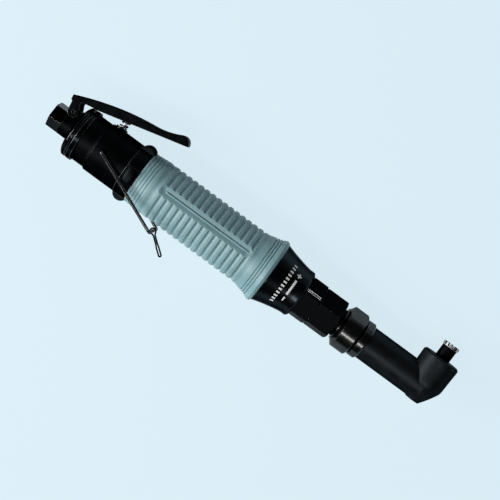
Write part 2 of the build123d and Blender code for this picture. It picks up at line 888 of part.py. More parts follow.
def motor_housing():
    start = body_end_x - spigot_length
    front = grip_end_x + case_spigot_length
    tube = turned([
        (start, housing_bore - spigot_lip),
        (start, spigot_radius),
        (body_end_x, spigot_radius),
        (body_end_x, ring_seat_radius),
        (grip_x, ring_seat_radius),
        (grip_x, housing_radius),
        (grip_end_x, housing_radius),
        (grip_end_x, case_spigot_radius),
        (front, case_spigot_radius),
        (front, housing_bore),
        (body_end_x, housing_bore),
        (body_end_x, housing_bore - spigot_lip),
    ])
    middle = body_end_x + ring_width / 2
    half = reverse_pin_radius + pass_gap
    window = make_face(Polyline(
        (middle - half, housing_bore - pass_gap),
        (middle + half, housing_bore - pass_gap),
        (middle + half, ring_seat_radius + pass_gap),
        (middle - half, ring_seat_radius + pass_gap),
        close=True,
    ))
    margin = math.degrees(half / housing_bore) + reverse_stop_margin
    swept = revolve(window, Axis.X, reverse_swing + 2 * margin)
    for angle in around(2, 90 + lobe_turn):
        tube -= Rot(angle - reverse_swing - margin, 0, 0) * swept
    return tube


def grip_outline():
    """Outer points of the grip, from the rear to the front."""
    points = [(grip_x, grip_rear_radius)]
    half_fine = fine_groove_width / 2
    slope = (grip_radius - grip_rear_radius) / grip_swell_from_rear
    for index in range(rear_fine_groove_count):
        along = rear_fine_groove_from_rear + fine_groove_pitch * index
        radius = grip_rear_radius + slope * along
        points.append((grip_x + along - half_fine, radius))
        points.append((grip_x + along, radius - fine_groove_depth))
        points.append((grip_x + along + half_fine, radius))
    points.append((grip_x + grip_swell_from_rear, grip_radius))
    for index in range(groove_count):
        centre = grip_x + groove_first_from_rear + groove_pitch * index
        points.append((centre - groove_width / 2, grip_radius))
        points.append((centre - groove_floor_width / 2, grip_radius - groove_depth))
        points.append((centre + groove_floor_width / 2, grip_radius - groove_depth))
        points.append((centre + groove_width / 2, grip_radius))
    return points


def rubber_grip():
    inner = housing_radius + slip
    rear = Polyline((grip_end_x, inner), (grip_x, inner), *grip_outline())
    flare_start = (grip_end_x - flare_start_from_front, grip_radius)
    crest = (grip_end_x - flare_crest_from_front, flare_radius)
    flare_mid = ((flare_start[0] + crest[0]) / 2, (grip_radius + flare_radius) / 2 - flare_hollow)
    run = Line(rear @ 1, flare_start)
    flare = ThreePointArc(flare_start, flare_mid, crest)
    lip = Polyline(crest, (grip_end_x, flare_radius - flare_lip_drop), (grip_end_x, inner))
    sleeve_solid = revolve(make_face(rear + run + flare + lip), Axis.X, 360)
    centre_x, centre_r, bend = circle_through(flare_start, flare_mid, crest)
    for index in range(front_fine_groove_count):
        middle = grip_end_x - front_fine_groove_from_front + fine_groove_pitch * index
        surface = centre_r - math.sqrt(bend * bend - (middle - centre_x) ** 2)
        sleeve_solid -= turned([
            (middle - fine_groove_width, surface + fine_groove_depth),
            (middle, surface - fine_groove_depth),
            (middle + fine_groove_width, surface + fine_groove_depth),
        ])
    spine_start = grip_x + grip_swell_from_rear + spine_from_swell
    spine_end = grip_end_x - flare_start_from_front
    for angle in (90 - spine_turn, 270 - spine_turn):
        strip = block(spine_start, spine_end, 0, 2 * grip_radius, -spine_width / 2, spine_width / 2)
        line = block(spine_start, spine_end, 0, 2 * grip_radius, -spine_line_width / 2, spine_line_width / 2)
        spine = sleeve(spine_start, spine_end, grip_radius + spine_rise, grip_radius - spine_root)
        ridge = sleeve(spine_start, spine_end, grip_radius + spine_line_rise, grip_radius - groove_depth)
        sleeve_solid += spine & (Rot(angle, 0, 0) * strip)
        sleeve_solid += ridge & (Rot(angle, 0, 0) * line)
    return sleeve_solid


# Air motor

def end_plate(start, pocket_start):
    end = start + end_plate_length
    plate = rod(start, end, motor_radius)
    plate -= rod(start, end, rotor_shaft_radius + pass_gap)
    plate -= rod(pocket_start, pocket_start + rotor_bearing_width, rotor_bearing_radius)
    for side in (-1, 1):
        plate -= rod(cylinder_x - dowel_reach, front_plate_x + dowel_reach, dowel_radius + slip, 0,
                     side * dowel_circle)
    return plate


def rear_end_plate():
    return end_plate(rear_plate_x, rear_plate_x)


def front_end_plate():
    return end_plate(front_plate_x, front_plate_end_x - rotor_bearing_width)


def rotor_bearing(start):
    end = start + rotor_bearing_width
    return sleeve(start, end, rotor_bearing_radius - slip, rotor_shaft_radius + running)


def motor_cylinder():
    shell = rod(cylinder_x, front_plate_x, motor_radius)
    shell -= rod(cylinder_x, front_plate_x, cylinder_bore, bore_offset)
    for side in (-1, 1):
        shell -= rod(cylinder_x, front_plate_x, dowel_radius + slip, 0, side * dowel_circle)
    return shell


def cylinder_dowels():
    start = cylinder_x - dowel_reach
    end = front_plate_x + dowel_reach
    return Compound([rod(start, end, dowel_radius, 0, side * dowel_circle) for side in (-1, 1)])


def vane_slot(width, start, end, depth):
    return block(start, end, rotor_radius - depth, 2 * rotor_radius, -width / 2, width / 2)


def rotor():
    start = cylinder_x + rotor_end_gap
    end = front_plate_x - rotor_end_gap
    sun_end = planet_x + gear_face + axial_gap
    body = rod(start, end, rotor_radius)
    body += rod(rear_plate_x + axial_gap, sun_x, rotor_shaft_radius)
    body += rod(sun_x, sun_end, sun_shaft_radius)
    for angle in around(vane_count, 180 / vane_count):
        body -= Rot(angle, 0, 0) * vane_slot(vane_thickness + 2 * slip, start, end, vane_depth + slip)
    return body


def rotor_vanes():
    start = cylinder_x + rotor_end_gap
    end = front_plate_x - rotor_end_gap
    full = rod(start, end, rotor_radius)
    vane = vane_slot(vane_thickness, start, end, vane_depth)
    return Compound([full & (Rot(angle, 0, 0) * vane) for angle in around(vane_count, 180 / vane_count)])


# Planetary gear

def sun_pinion():
    length = planet_x + gear_face + axial_gap - sun_x
    return spur_gear(sun_x, length, sun_teeth, 0) - rod(sun_x, sun_x + length, sun_shaft_radius + slip)


def planet_centre(angle):
    distance = gear_module * (sun_teeth + planet_teeth) / 2
    return distance * math.cos(math.radians(angle)), distance * math.sin(math.radians(angle))


def planet(angle):
    y, z = planet_centre(angle)
    half_pitch = 180 / planet_teeth
    gear = spur_gear(planet_x, gear_face, planet_teeth, half_pitch)
    gear -= rod(planet_x, planet_x + gear_face, planet_pin_radius + running)
    return Pos(0, y, z) * gear


def ring_gear():
    teeth = sun_teeth + 2 * planet_teeth
    pitch_radius = gear_module * teeth / 2
    tip = pitch_radius - ring_addendum * gear_module
    root = pitch_radius + gear_dedendum * gear_module
    spaces = gear_outline(teeth, tip, pitch_radius, root, -gear_backlash, 180 / teeth)
    blank = rod(ring_gear_x, ring_gear_x + ring_gear_length, motor_radius)
    return blank - extrude(Plane.YZ.offset(ring_gear_x) * spaces, ring_gear_length)


def planet_pins():
    start = planet_x - axial_gap
    end = carrier_x + carrier_thickness
    pins = [rod(start, end, planet_pin_radius, *planet_centre(angle)) for angle in around(planet_count)]
    return Compound(pins)


def planet_carrier():
    disc_end = carrier_x + carrier_thickness
    carrier = rod(carrier_x, disc_end, carrier_radius)
    carrier += rod(disc_end, driver_x, carrier_shaft_radius)
    carrier += rod(driver_x, driver_end_x, driver_bore - slip)
    for angle in around(planet_count):
        carrier -= rod(carrier_x, disc_end, planet_pin_radius + slip, *planet_centre(angle))
    pilot_x = jaw_x - clutch_pilot_length - axial_gap
    return carrier - rod(pilot_x, driver_end_x, clutch_pilot_radius + running)


def carrier_bearing():
    end = carrier_bearing_x + carrier_bearing_width
    return sleeve(carrier_bearing_x, end, motor_radius, carrier_shaft_radius + running)


# Clutch

def ball_places():
    x = (driver_end_x + jaw_x) / 2
    for angle in around(clutch_ball_count, 180 / clutch_ball_count):
        y = clutch_ball_circle * math.cos(math.radians(angle))
        z = clutch_ball_circle * math.sin(math.radians(angle))
        yield x, y, z


def clutch_driver():
    driver = sleeve(driver_x, driver_end_x, driver_radius, driver_bore)
    for place in ball_places():
        driver -= Pos(*place) * Sphere(clutch_ball_radius + slip)
    return driver


def clutch_balls():
    return Compound([Pos(*place) * Sphere(clutch_ball_radius) for place in ball_places()])


def flatted_bar(start, end, radius, thickness):
    return rod(start, end, radius) & block(start, end, -thickness / 2, thickness / 2, -radius, radius)


def clutch_jaw():
    jaw = rod(jaw_x, jaw_end_x, driver_radius)
    hole = flatted_bar(jaw_x, jaw_end_x, clutch_shaft_radius + running, clutch_shaft_flats + 2 * running)
    jaw -= hole
    for place in ball_places():
        jaw -= Pos(*place) * Rot(0, 90, 0) * Sphere(clutch_ball_radius + pass_gap)
    return jaw


def clutch_spring():
    wound = coil("clutch_spring", clutch_spring_radius, clutch_spring_wire_radius, clutch_spring_length,
                 clutch_spring_turns)
    return Pos(jaw_end_x, 0, 0) * Rot(0, 90, 0) * wound


def clutch_adjuster():
    nut = sleeve(adjuster_x, adjuster_end_x, adjuster_radius, clutch_shaft_radius + slip)
    notch = block(
        adjuster_x + axial_gap, adjuster_end_x,
        adjuster_radius - adjuster_notch_depth, 2 * adjuster_radius,
        -adjuster_notch_width / 2, adjuster_notch_width / 2,
    )
    for angle in around(adjuster_notch_count, 90 - slot_turn):
        nut -= Rot(angle, 0, 0) * notch
    return nut


def clutch_shaft():
    shaft = rod(jaw_x - clutch_pilot_length, jaw_x, clutch_pilot_radius)
    shaft += flatted_bar(jaw_x, adjuster_x, clutch_shaft_radius, clutch_shaft_flats)
    shaft += rod(adjuster_x, shaft_bearing_end_x + axial_gap, clutch_shaft_radius)
    return shaft + flatted_bar(shaft_bearing_end_x + axial_gap, tang_end_x, tang_radius, tang_thickness)


def clutch_shaft_bearing():
    outer = shaft_bearing_radius - slip
    return sleeve(shaft_bearing_x, shaft_bearing_end_x, outer, clutch_shaft_radius + running)


# Gear case and front housing

def gear_case():
    spigot_end = grip_end_x + case_spigot_length
    front_x = grip_end_x + case_front_from_rear
    cone = ThreePointArc(
        (grip_end_x, case_rear_radius),
        (grip_end_x + case_mid_from_rear, case_mid_radius),
        (front_x, case_front_radius),
    )
    rest = Polyline(
        (front_x, case_front_radius),
        (case_end_x - case_chamfer, case_front_radius),
        (case_end_x, case_front_radius - case_chamfer),
        (case_end_x, case_bore),
        (spigot_end, case_bore),
        (spigot_end, case_spigot_radius + slip),
        (grip_end_x, case_spigot_radius + slip),
        (grip_end_x, case_rear_radius),
    )
    return revolve(make_face(cone + rest), Axis.X, 360)


def is_slot_rim(edge):
    """Whether an edge along the tool is one of the slot's two outer edges."""
    place = edge.center().rotate(Axis.X, slot_turn - 90)
    return place.Y > front_bore and abs(abs(place.Z) - slot_width / 2) < same_place


def front_housing():
    spigot_x = case_end_x - front_spigot_length
    body = rod(spigot_x, case_end_x, case_bore - slip)
    body += hex_nut_blank(case_end_x, front_hex_x, barrel_flats, front_hex_turn, hex_chamfer)
    body += hex_nut_blank(front_hex_x, front_end_x, front_hex_flats, front_hex_turn, hex_chamfer)
    body += rod(front_end_x, nose_end_x, nose_radius)
    body -= rod(spigot_x, adjuster_end_x + axial_gap, front_bore)
    body -= rod(adjuster_end_x, nose_end_x, shaft_passage_radius)
    body -= rod(shaft_bearing_x, shaft_bearing_end_x, shaft_bearing_radius)
    slot = block(
        case_end_x + axial_gap, case_end_x + axial_gap + slot_length,
        front_bore - pass_gap, barrel_flats,
        -slot_width / 2, slot_width / 2,
    )
    body -= Rot(90 - slot_turn, 0, 0) * slot
    return chamfer(body.edges().filter_by(Axis.X).filter_by(is_slot_rim), slot_edge)


# Coupling

def neck_washer():
    return sleeve(nut_x - washer_thickness, nut_x, washer_radius, nose_radius + slip)


def coupling_nut():
    rear_run, rear_drop = nut_rear_chamfer
    front_run, front_drop = nut_front_chamfer
    nut = turned([
        (nut_x, 0),
        (nut_x, nut_radius - rear_drop),
        (nut_x + rear_run, nut_radius),
        (nut_end_x - front_run, nut_radius),
        (nut_end_x, nut_radius - front_drop),
        (nut_end_x, 0),
    ])
    flats = block(nut_x, nut_end_x, -nut_flats / 2, nut_flats / 2, -nut_radius, nut_radius)
    nut &= Rot(nut_flat_turn, 0, 0) * flats
    nut -= rod(nut_x, nose_end_x, nose_radius + slip)
    nut -= rod(nose_end_x - axial_gap, flange_end_x, flange_radius + slip)
    return nut - rod(flange_end_x, nut_end_x, head_neck_radius + slip)


def lock_ring():
    ring = sleeve(nut_end_x, lock_end_x, lock_ring_radius, head_neck_radius + slip)
    return chamfer(ring.edges().filter_by(
        lambda edge: edge.geom_type == GeomType.CIRCLE and abs(edge.radius - lock_ring_radius) < same_place
    ), lock_ring_chamfer)


# Angle head

def angle_head():
    bulge_radius, bulge_drop = head_taper_bulge
    shoulder_radius, shoulder_drop = head_taper_shoulder
    shoulder = (head_x + shoulder_radius, -shoulder_drop)
    taper = ThreePointArc(
        (head_x + head_bottom_radius, -head_bottom),
        (head_x + bulge_radius, -bulge_drop),
        shoulder,
    )
    wall_start = (head_x + head_lower_radius, head_taper_top)
    turn_in = TangentArc(wall_start, shoulder, tangent=(0, -1))
    walls = Polyline(
        wall_start,
        (head_x + head_radius, head_top),
        (head_x, head_top),
        (head_x, -head_bottom),
        (head_x + head_bottom_radius, -head_bottom),
    )
    head = revolve(make_face(taper + turn_in + walls), Axis((head_x, 0, 0), (0, 1, 0)), 360)
    head += rod(nose_end_x, flange_end_x, flange_radius)
    head += rod(flange_end_x, lock_end_x, head_neck_radius)
    head += rod(lock_end_x, head_x, head_tube_radius)
    front_bearing_end = front_pinion_bearing_x + pinion_bearing_width
    head -= rod(nose_end_x, front_bearing_end, pinion_bore_radius)
    head -= rod(front_bearing_end, head_x, pinion_bore_radius - pinion_bore_step)
    head -= post(-gear_chamber_floor, head_top, gear_chamber_radius, head_x)
    head -= post(spindle_bearing_bottom, head_top, spindle_bearing_radius, head_x)
    bush_bottom = -lower_bush_drop - lower_bush_length
    return head - post(bush_bottom, 0, lower_bush_radius, head_x)


def head_cap():
    spigot = spindle_bearing_radius - slip
    clear = spindle_radius + pass_gap
    bearing_top = spindle_bearing_bottom + spindle_bearing_width
    return turned_on_spindle([
        (clear, bearing_top),
        (spigot, bearing_top),
        (spigot, head_top),
        (head_radius, head_top),
        (head_radius, cap_top_y - cap_chamfer),
        (head_radius - cap_chamfer, cap_top_y),
        (clear, cap_top_y),
    ])


def spindle_upper_bearing():
    bottom = spindle_bearing_bottom
    top = bottom + spindle_bearing_width
    ring = post(bottom, top, spindle_bearing_radius - slip, head_x)
    return ring - post(bottom, top, spindle_journal_radius + running, head_x)


def spindle_lower_bush():
    bottom = -lower_bush_drop - lower_bush_length
    ring = post(bottom, -lower_bush_drop, lower_bush_radius - slip, head_x)
    return ring - post(bottom, -lower_bush_drop, spindle_stub_radius + running, head_x)


def pinion_bearing(start):
    end = start + pinion_bearing_width
    return sleeve(start, end, pinion_bore_radius - slip, pinion_shaft_radius + running)


def bevel_pinion():
    socket_x = shaft_bearing_end_x + 2 * axial_gap
    socket_end = socket_x + pinion_socket_length
    hub_x = front_pinion_bearing_x + pinion_bearing_width + axial_gap
    back_x = head_x - bevel_back(pinion_teeth, bevel_teeth)
    apex = Plane((head_x, 0, 0), x_dir=(0, 1, 0), z_dir=(-1, 0, 0))
    pinion = bevel_teeth_solid(apex, pinion_teeth, bevel_teeth, 0)
    pinion += rod(hub_x, back_x, pinion_hub_radius)
    pinion += rod(socket_end, hub_x, pinion_shaft_radius)
    pinion += rod(socket_x, socket_end, pinion_socket_radius)
    drive = flatted_bar(socket_x, tang_end_x + axial_gap, tang_radius + running, tang_thickness + 2 * running)
    return pinion - drive


def bevel_gear():
    back = bevel_back(bevel_teeth, pinion_teeth)
    rim_top = back + bevel_rim_thickness
    apex = Plane((head_x, 0, 0), x_dir=(1, 0, 0), z_dir=(0, 1, 0))
    gear = bevel_teeth_solid(apex, bevel_teeth, pinion_teeth, 180 + 180 / bevel_teeth)
    gear += post(back, rim_top, bevel_rim_radius, head_x)
    gear += post(rim_top, spindle_gear_shoulder, bevel_hub_radius, head_x)
    return gear - post(0, spindle_gear_shoulder, spindle_gear_seat_radius + slip, head_x)


def output_spindle():
    journal_top = spindle_bearing_bottom + spindle_bearing_width + slip
    seat_bottom = bevel_module * pinion_teeth / 2 * bevel_face_share
    neck_top = spindle_end_y + end_ring_seat_height
    spindle = post(-spindle_stub_drop, seat_bottom, spindle_stub_radius, head_x)
    spindle += post(seat_bottom, spindle_gear_shoulder, spindle_gear_seat_radius, head_x)
    spindle += post(spindle_gear_shoulder, journal_top, spindle_journal_radius, head_x)
    spindle += post(journal_top, spindle_end_y, spindle_radius, head_x)
    spindle += post(spindle_end_y, neck_top, end_ring_seat_radius, head_x)
    facing = Plane((head_x, 0, 0), x_dir=(1, 0, 0), z_dir=(0, 1, 0))
    hexagon = RegularPolygon(bit_hex_flats / 2, 6, major_radius=False)
    socket_bottom = bit_mouth_y - bit_socket_depth
    return spindle - extrude(facing.offset(socket_bottom) * hexagon, bit_socket_depth)


def end_ring():
    ring = post(spindle_end_y, bit_mouth_y, end_ring_radius, head_x)
    ring -= post(spindle_end_y, bit_mouth_y, end_ring_seat_radius + slip, head_x)
    slot = block(
        head_x, head_x + 2 * end_ring_radius,
        spindle_end_y + end_ring_slot_floor, bit_mouth_y,
        -end_ring_slot_width / 2, end_ring_slot_width / 2,
    )
    spin = Axis((head_x, 0, 0), (0, 1, 0))
    for index in range(end_ring_slot_count):
        ring -= slot.rotate(spin, 360 / end_ring_slot_count * index)
    return ring


def nodes():
    """Every piece of the tool, by name."""
    pieces = {
        "inlet_bushing": inlet_bushing(),
        "inlet_screen": inlet_screen(),
        "valve_body": valve_body(),
        "exhaust_deflector": exhaust_deflector(),
        "lever": lever(),
        "lever_pin": lever_pin(),
        "valve_bush": valve_bush(),
        "valve_stem": valve_stem(),
        "valve_poppet": valve_poppet(),
        "valve_spring": valve_spring(),
        "reverse_ring": reverse_ring(),
        "reverse_pins": reverse_pins(),
        "reverse_plate": reverse_plate(),
        "hanger_bail": hanger_bail(),
        "hanger_link": hanger_link(),
        "motor_housing": motor_housing(),
        "rubber_grip": rubber_grip(),
        "rear_end_plate": rear_end_plate(),
        "front_end_plate": front_end_plate(),
        "motor_cylinder": motor_cylinder(),
        "cylinder_dowels": cylinder_dowels(),
        "rear_rotor_bearing": rotor_bearing(rear_plate_x),
        "front_rotor_bearing": rotor_bearing(front_plate_end_x - rotor_bearing_width),
        "rotor": rotor(),
        "rotor_vanes": rotor_vanes(),
        "sun_pinion": sun_pinion(),
        "ring_gear": ring_gear(),
        "planet_pins": planet_pins(),
        "planet_carrier": planet_carrier(),
        "carrier_bearing": carrier_bearing(),
        "clutch_driver": clutch_driver(),
        "clutch_balls": clutch_balls(),
        "clutch_jaw": clutch_jaw(),
        "clutch_spring": clutch_spring(),
        "clutch_adjuster": clutch_adjuster(),
        "clutch_shaft": clutch_shaft(),
        "clutch_shaft_bearing": clutch_shaft_bearing(),
        "gear_case": gear_case(),
        "front_housing": front_housing(),
        "neck_washer": neck_washer(),
        "coupling_nut": coupling_nut(),
        "lock_ring": lock_ring(),
        "angle_head": angle_head(),
        "head_cap": head_cap(),
        "spindle_upper_bearing": spindle_upper_bearing(),
        "spindle_lower_bush": spindle_lower_bush(),
        "pinion_rear_bearing": pinion_bearing(rear_pinion_bearing_x),
        "pinion_front_bearing": pinion_bearing(front_pinion_bearing_x),
        "bevel_pinion": bevel_pinion(),
        "bevel_gear": bevel_gear(),
        "output_spindle": output_spindle(),
        "end_ring": end_ring(),
    }
    for index, angle in enumerate(around(planet_count), start=1):
        pieces[f"planet_{index}"] = planet(angle)
    return pieces


if __name__ == "__main__":
    os.makedirs("parts", exist_ok=True)
    for name, shape in nodes().items():
        export_step(shape, f"parts/{name}.step")
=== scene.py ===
import json
import math

import bpy
from mathutils import Matrix, Vector


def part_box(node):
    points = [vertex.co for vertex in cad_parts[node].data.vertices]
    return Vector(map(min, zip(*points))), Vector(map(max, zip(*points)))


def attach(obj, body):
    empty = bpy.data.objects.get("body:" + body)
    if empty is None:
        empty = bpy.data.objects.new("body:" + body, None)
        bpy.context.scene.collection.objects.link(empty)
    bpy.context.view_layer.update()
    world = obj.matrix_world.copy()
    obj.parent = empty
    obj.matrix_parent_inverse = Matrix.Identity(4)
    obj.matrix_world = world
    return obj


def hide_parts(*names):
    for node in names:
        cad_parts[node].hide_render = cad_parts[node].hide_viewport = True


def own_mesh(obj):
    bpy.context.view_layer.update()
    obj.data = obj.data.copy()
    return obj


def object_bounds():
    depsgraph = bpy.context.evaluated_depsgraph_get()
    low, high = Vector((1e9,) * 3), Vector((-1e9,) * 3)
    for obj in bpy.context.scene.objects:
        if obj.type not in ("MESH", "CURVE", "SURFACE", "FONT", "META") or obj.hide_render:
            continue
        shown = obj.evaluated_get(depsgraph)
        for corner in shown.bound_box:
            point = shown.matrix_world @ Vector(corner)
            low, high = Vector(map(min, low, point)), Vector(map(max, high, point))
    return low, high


# Looks of a right-angle pneumatic screwdriver that lies on its side on a pale floor.
# Sizes are in metres, or in millimetres where a name ends in _MM or _mm or a comment says so.
# Angles are in radians, or in degrees where a name ends in _DEG or _deg.

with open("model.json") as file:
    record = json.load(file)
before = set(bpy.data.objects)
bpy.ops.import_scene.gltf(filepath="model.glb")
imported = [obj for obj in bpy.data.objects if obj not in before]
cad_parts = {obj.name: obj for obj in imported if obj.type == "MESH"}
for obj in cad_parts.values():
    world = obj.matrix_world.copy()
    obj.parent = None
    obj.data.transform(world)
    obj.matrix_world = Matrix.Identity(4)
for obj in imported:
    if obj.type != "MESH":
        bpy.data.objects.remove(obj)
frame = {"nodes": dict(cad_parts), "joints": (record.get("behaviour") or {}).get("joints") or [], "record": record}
cad_low, cad_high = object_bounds()

MM = 0.001

# View: the tool is seen from almost straight above, its axis turned in the picture

VIEW_TARGET = Vector((0.1670, 0.0042, 0.0))
VIEW_TURN = math.radians(36.3)
VIEW_LEAN_X = -0.015
VIEW_LEAN_Y = 0.080
VIEW_DISTANCE = 0.80
VIEW_WIDTH = 0.350
SENSOR_MM = 36.0

# Places along the tool, read from the solids

grip_low, grip_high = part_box("rubber_grip")
case_low, case_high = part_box("gear_case")
spring_low, spring_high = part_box("valve_spring")
clutch_low, clutch_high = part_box("clutch_spring")
ring_low, ring_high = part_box("end_ring")
well_outside = 2 * case_high.y


# Small helpers

SHARP_ANGLE = math.radians(35.0)


def joint_row(name):
    """The frame's row of a joint."""
    return next(row for row in frame["joints"] if row["name"] == name)


def surface_point(node, start, heading):
    """Place where a ray from outside first meets a node."""
    _, place, _, _ = frame["nodes"][node].ray_cast(start, heading)
    return place


def mesh_object(name, points, faces, material, body):
    """A closed mesh that rides on a body."""
    mesh = bpy.data.meshes.new(name)
    mesh.from_pydata(points, [], faces)
    mesh.update()
    for polygon in mesh.polygons:
        polygon.use_smooth = True
    mesh.set_sharp_from_angle(angle=SHARP_ANGLE)
    mesh.materials.append(material)
    piece = bpy.data.objects.new(name, mesh)
    bpy.context.scene.collection.objects.link(piece)
    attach(piece, body)
    return piece


def ring_faces(rings, count):
    """Quads between closed rings of points, from the first ring to the last and back to the first."""
    faces = []
    for ring in range(rings):
        following = (ring + 1) % rings
        for index in range(count):
            beside = (index + 1) % count
            faces.append((
                ring * count + index,
                ring * count + beside,
                following * count + beside,
                following * count + index,
            ))
    return faces


def tube_faces(rings, count):
    """Quads along an open tube, and a face across each of its ends."""
    faces = ring_faces(rings, count)[:-count]
    faces.append(tuple(reversed(range(count))))
    faces.append(tuple((rings - 1) * count + index for index in range(count)))
    return faces


def on_axis(x, radius, angle):
    """Point at a distance from the tool's axis. The angle runs from +Y towards +Z."""
    return (x, radius * math.cos(angle), radius * math.sin(angle))


def even_steps(start, span, count):
    """Evenly spaced values from the start of a span up to the last one before its end."""
    return [start + span * index / count for index in range(count)]


def smooth_step(low, high, value):
    """Smooth rise from 0 at the low value to 1 at the high one."""
    share = min(1.0, max(0.0, (value - low) / (high - low)))
    return share * share * (3 - 2 * share)


def hollow(value, centre, width):
    """Rounded dip of depth 1 and a given width."""
    share = abs(value - centre) / (width / 2)
    return 0.5 + 0.5 * math.cos(math.pi * share) if share < 1 else 0.0


# Materials

MIX_FIRST_COLOUR = 6
MIX_SECOND_COLOUR = 7
MIX_COLOUR_OUT = 2
BEVEL_SAMPLES = 6


class Finish:
    """A Principled material whose nodes are added one by one."""

    def __init__(self, name, roughness, metallic=0.0, specular=0.5):
        self.material = bpy.data.materials.new(name)
        self.material.use_nodes = True
        self.tree = self.material.node_tree
        self.shader = self.tree.nodes["Principled BSDF"]
        self.shader.inputs["Roughness"].default_value = roughness
        self.shader.inputs["Metallic"].default_value = metallic
        self.shader.inputs["Specular IOR Level"].default_value = specular
        self.coordinates = self.node("ShaderNodeTexCoord").outputs["Object"]
        self.normal = None

    def node(self, kind, **settings):
        made = self.tree.nodes.new(kind)
        for name, value in settings.items():
            setattr(made, name, value)
        return made

    def link(self, output, socket):
        self.tree.links.new(output, socket)

    def noise(self, size, detail, stretch=(1, 1, 1)):
        """Noise whose features are about as large as size."""
        scaled = self.node("ShaderNodeMapping")
        scaled.inputs["Scale"].default_value = stretch
        self.link(self.coordinates, scaled.inputs["Vector"])
        made = self.node("ShaderNodeTexNoise")
        made.inputs["Scale"].default_value = 1 / size
        made.inputs["Detail"].default_value = detail
        self.link(scaled.outputs["Vector"], made.inputs["Vector"])
        return made.outputs["Fac"]

    def ramp(self, value, low=0.3, high=0.7, low_out=0.0, high_out=1.0):
        """Value moved from one range to another. Most noise lies between the usual low and high."""
        made = self.node("ShaderNodeMapRange")
        made.inputs["From Min"].default_value = low
        made.inputs["From Max"].default_value = high
        made.inputs["To Min"].default_value = low_out
        made.inputs["To Max"].default_value = high_out
        self.link(value, made.inputs["Value"])
        return made.outputs["Result"]

    def mix(self, share, first, second):
        """Colour between two colours. Each is a colour or another node's output."""
        made = self.node("ShaderNodeMix", data_type="RGBA")
        self.link(share, made.inputs["Factor"])
        for socket, colour in ((MIX_FIRST_COLOUR, first), (MIX_SECOND_COLOUR, second)):
            if isinstance(colour, tuple):
                made.inputs[socket].default_value = (*colour, 1.0)
            else:
                self.link(colour, made.inputs[socket])
        return made.outputs[MIX_COLOUR_OUT]

    def colour(self, value):
        self.link(value, self.shader.inputs["Base Color"])

    def roughness(self, value):
        self.link(value, self.shader.inputs["Roughness"])

    def round_edges(self, radius):
        """Softens the look of sharp edges. The value returned is 1 on open faces and less beside an edge."""
        bevel = self.node("ShaderNodeBevel", samples=BEVEL_SAMPLES)
        bevel.inputs["Radius"].default_value = radius
        self.normal = bevel.outputs["Normal"]
        openness = self.node("ShaderNodeVectorMath", operation="DOT_PRODUCT")
        self.link(bevel.outputs["Normal"], openness.inputs[0])
        self.link(self.node("ShaderNodeNewGeometry").outputs["Normal"], openness.inputs[1])
        return openness.outputs["Value"]

    def bump(self, height, depth):
        made = self.node("ShaderNodeBump")
        made.inputs["Distance"].default_value = depth
        self.link(height, made.inputs["Height"])
        if self.normal:
            self.link(self.normal, made.inputs["Normal"])
        self.normal = made.outputs["Normal"]

    def done(self):
        if self.normal:
            self.link(self.normal, self.shader.inputs["Normal"])
        return self.material


COAT_TINT = (0.82, 0.98, 1.12)
OXIDE_TINT = (1.0, 1.0, 1.0)
WORN_METAL = (0.24, 0.24, 0.25)
COAT_SPREAD = 0.2
COAT_GLOSS_SPREAD = 0.12
GRAIN_DEPTH = 0.005 * MM
SCUFF_LOW = 0.45
SCUFF_HIGH = 0.75
OPEN_FACE = 0.985
AT_EDGE = 0.86


def black_finish(name, roughness, reflectance, rim, edge, grain=0.12 * MM, wear=0.0, tint=COAT_TINT):
    """Black coat on metal: a fine grain, uneven gloss and edges where the coat is thin.

    The reflectance is what it returns straight on, and rim how much of the usual gain is left at a slant.
    More wear bares more of the edges.
    """
    made = Finish(name, roughness, metallic=1.0)
    made.shader.inputs["Specular Tint"].default_value = (rim, rim, rim, 1.0)
    openness = made.round_edges(edge)
    cloud = made.noise(size=9 * MM, detail=4.0)
    fine = made.noise(size=grain, detail=2.0)
    dark = tuple((1 - COAT_SPREAD) * reflectance * part for part in tint)
    light = tuple((1 + COAT_SPREAD) * reflectance * part for part in tint)
    shade = made.mix(made.ramp(cloud, low=0.35), dark, light)
    scuff = made.ramp(made.noise(size=2.5 * MM, detail=5.0), low=SCUFF_LOW - wear, high=SCUFF_HIGH - wear)
    bared = made.node("ShaderNodeMath", operation="MULTIPLY")
    made.link(scuff, bared.inputs[0])
    made.link(made.ramp(openness, low=OPEN_FACE, high=AT_EDGE), bared.inputs[1])
    made.colour(made.mix(bared.outputs["Value"], shade, WORN_METAL))
    smoother = (1 - COAT_GLOSS_SPREAD) * roughness
    rougher = (1 + COAT_GLOSS_SPREAD) * roughness
    made.roughness(made.ramp(cloud, low_out=smoother, high_out=rougher))
    made.bump(fine, GRAIN_DEPTH)
    return made.done()


STEEL_EDGE = 0.15 * MM
LINE_SMOOTHER = 0.06
LINE_ROUGHER = 0.08


def steel_finish(name, dark, light, roughness, stretch, line_size, line_depth):
    """Bare steel with the fine lines that turning or drawing leaves."""
    made = Finish(name, roughness, metallic=1.0)
    made.round_edges(STEEL_EDGE)
    lines = made.noise(line_size, detail=3.0, stretch=stretch)
    cloud = made.noise(size=6 * MM, detail=3.0)
    made.colour(made.mix(made.ramp(cloud), dark, light))
    made.roughness(made.ramp(lines, low_out=roughness - LINE_SMOOTHER, high_out=roughness + LINE_ROUGHER))
    made.bump(lines, line_depth)
    return made.done()


RUBBER_DARK = (0.153, 0.276, 0.306)
RUBBER_LIGHT = (0.190, 0.326, 0.360)
RUBBER_DUST = (0.26, 0.37, 0.395)


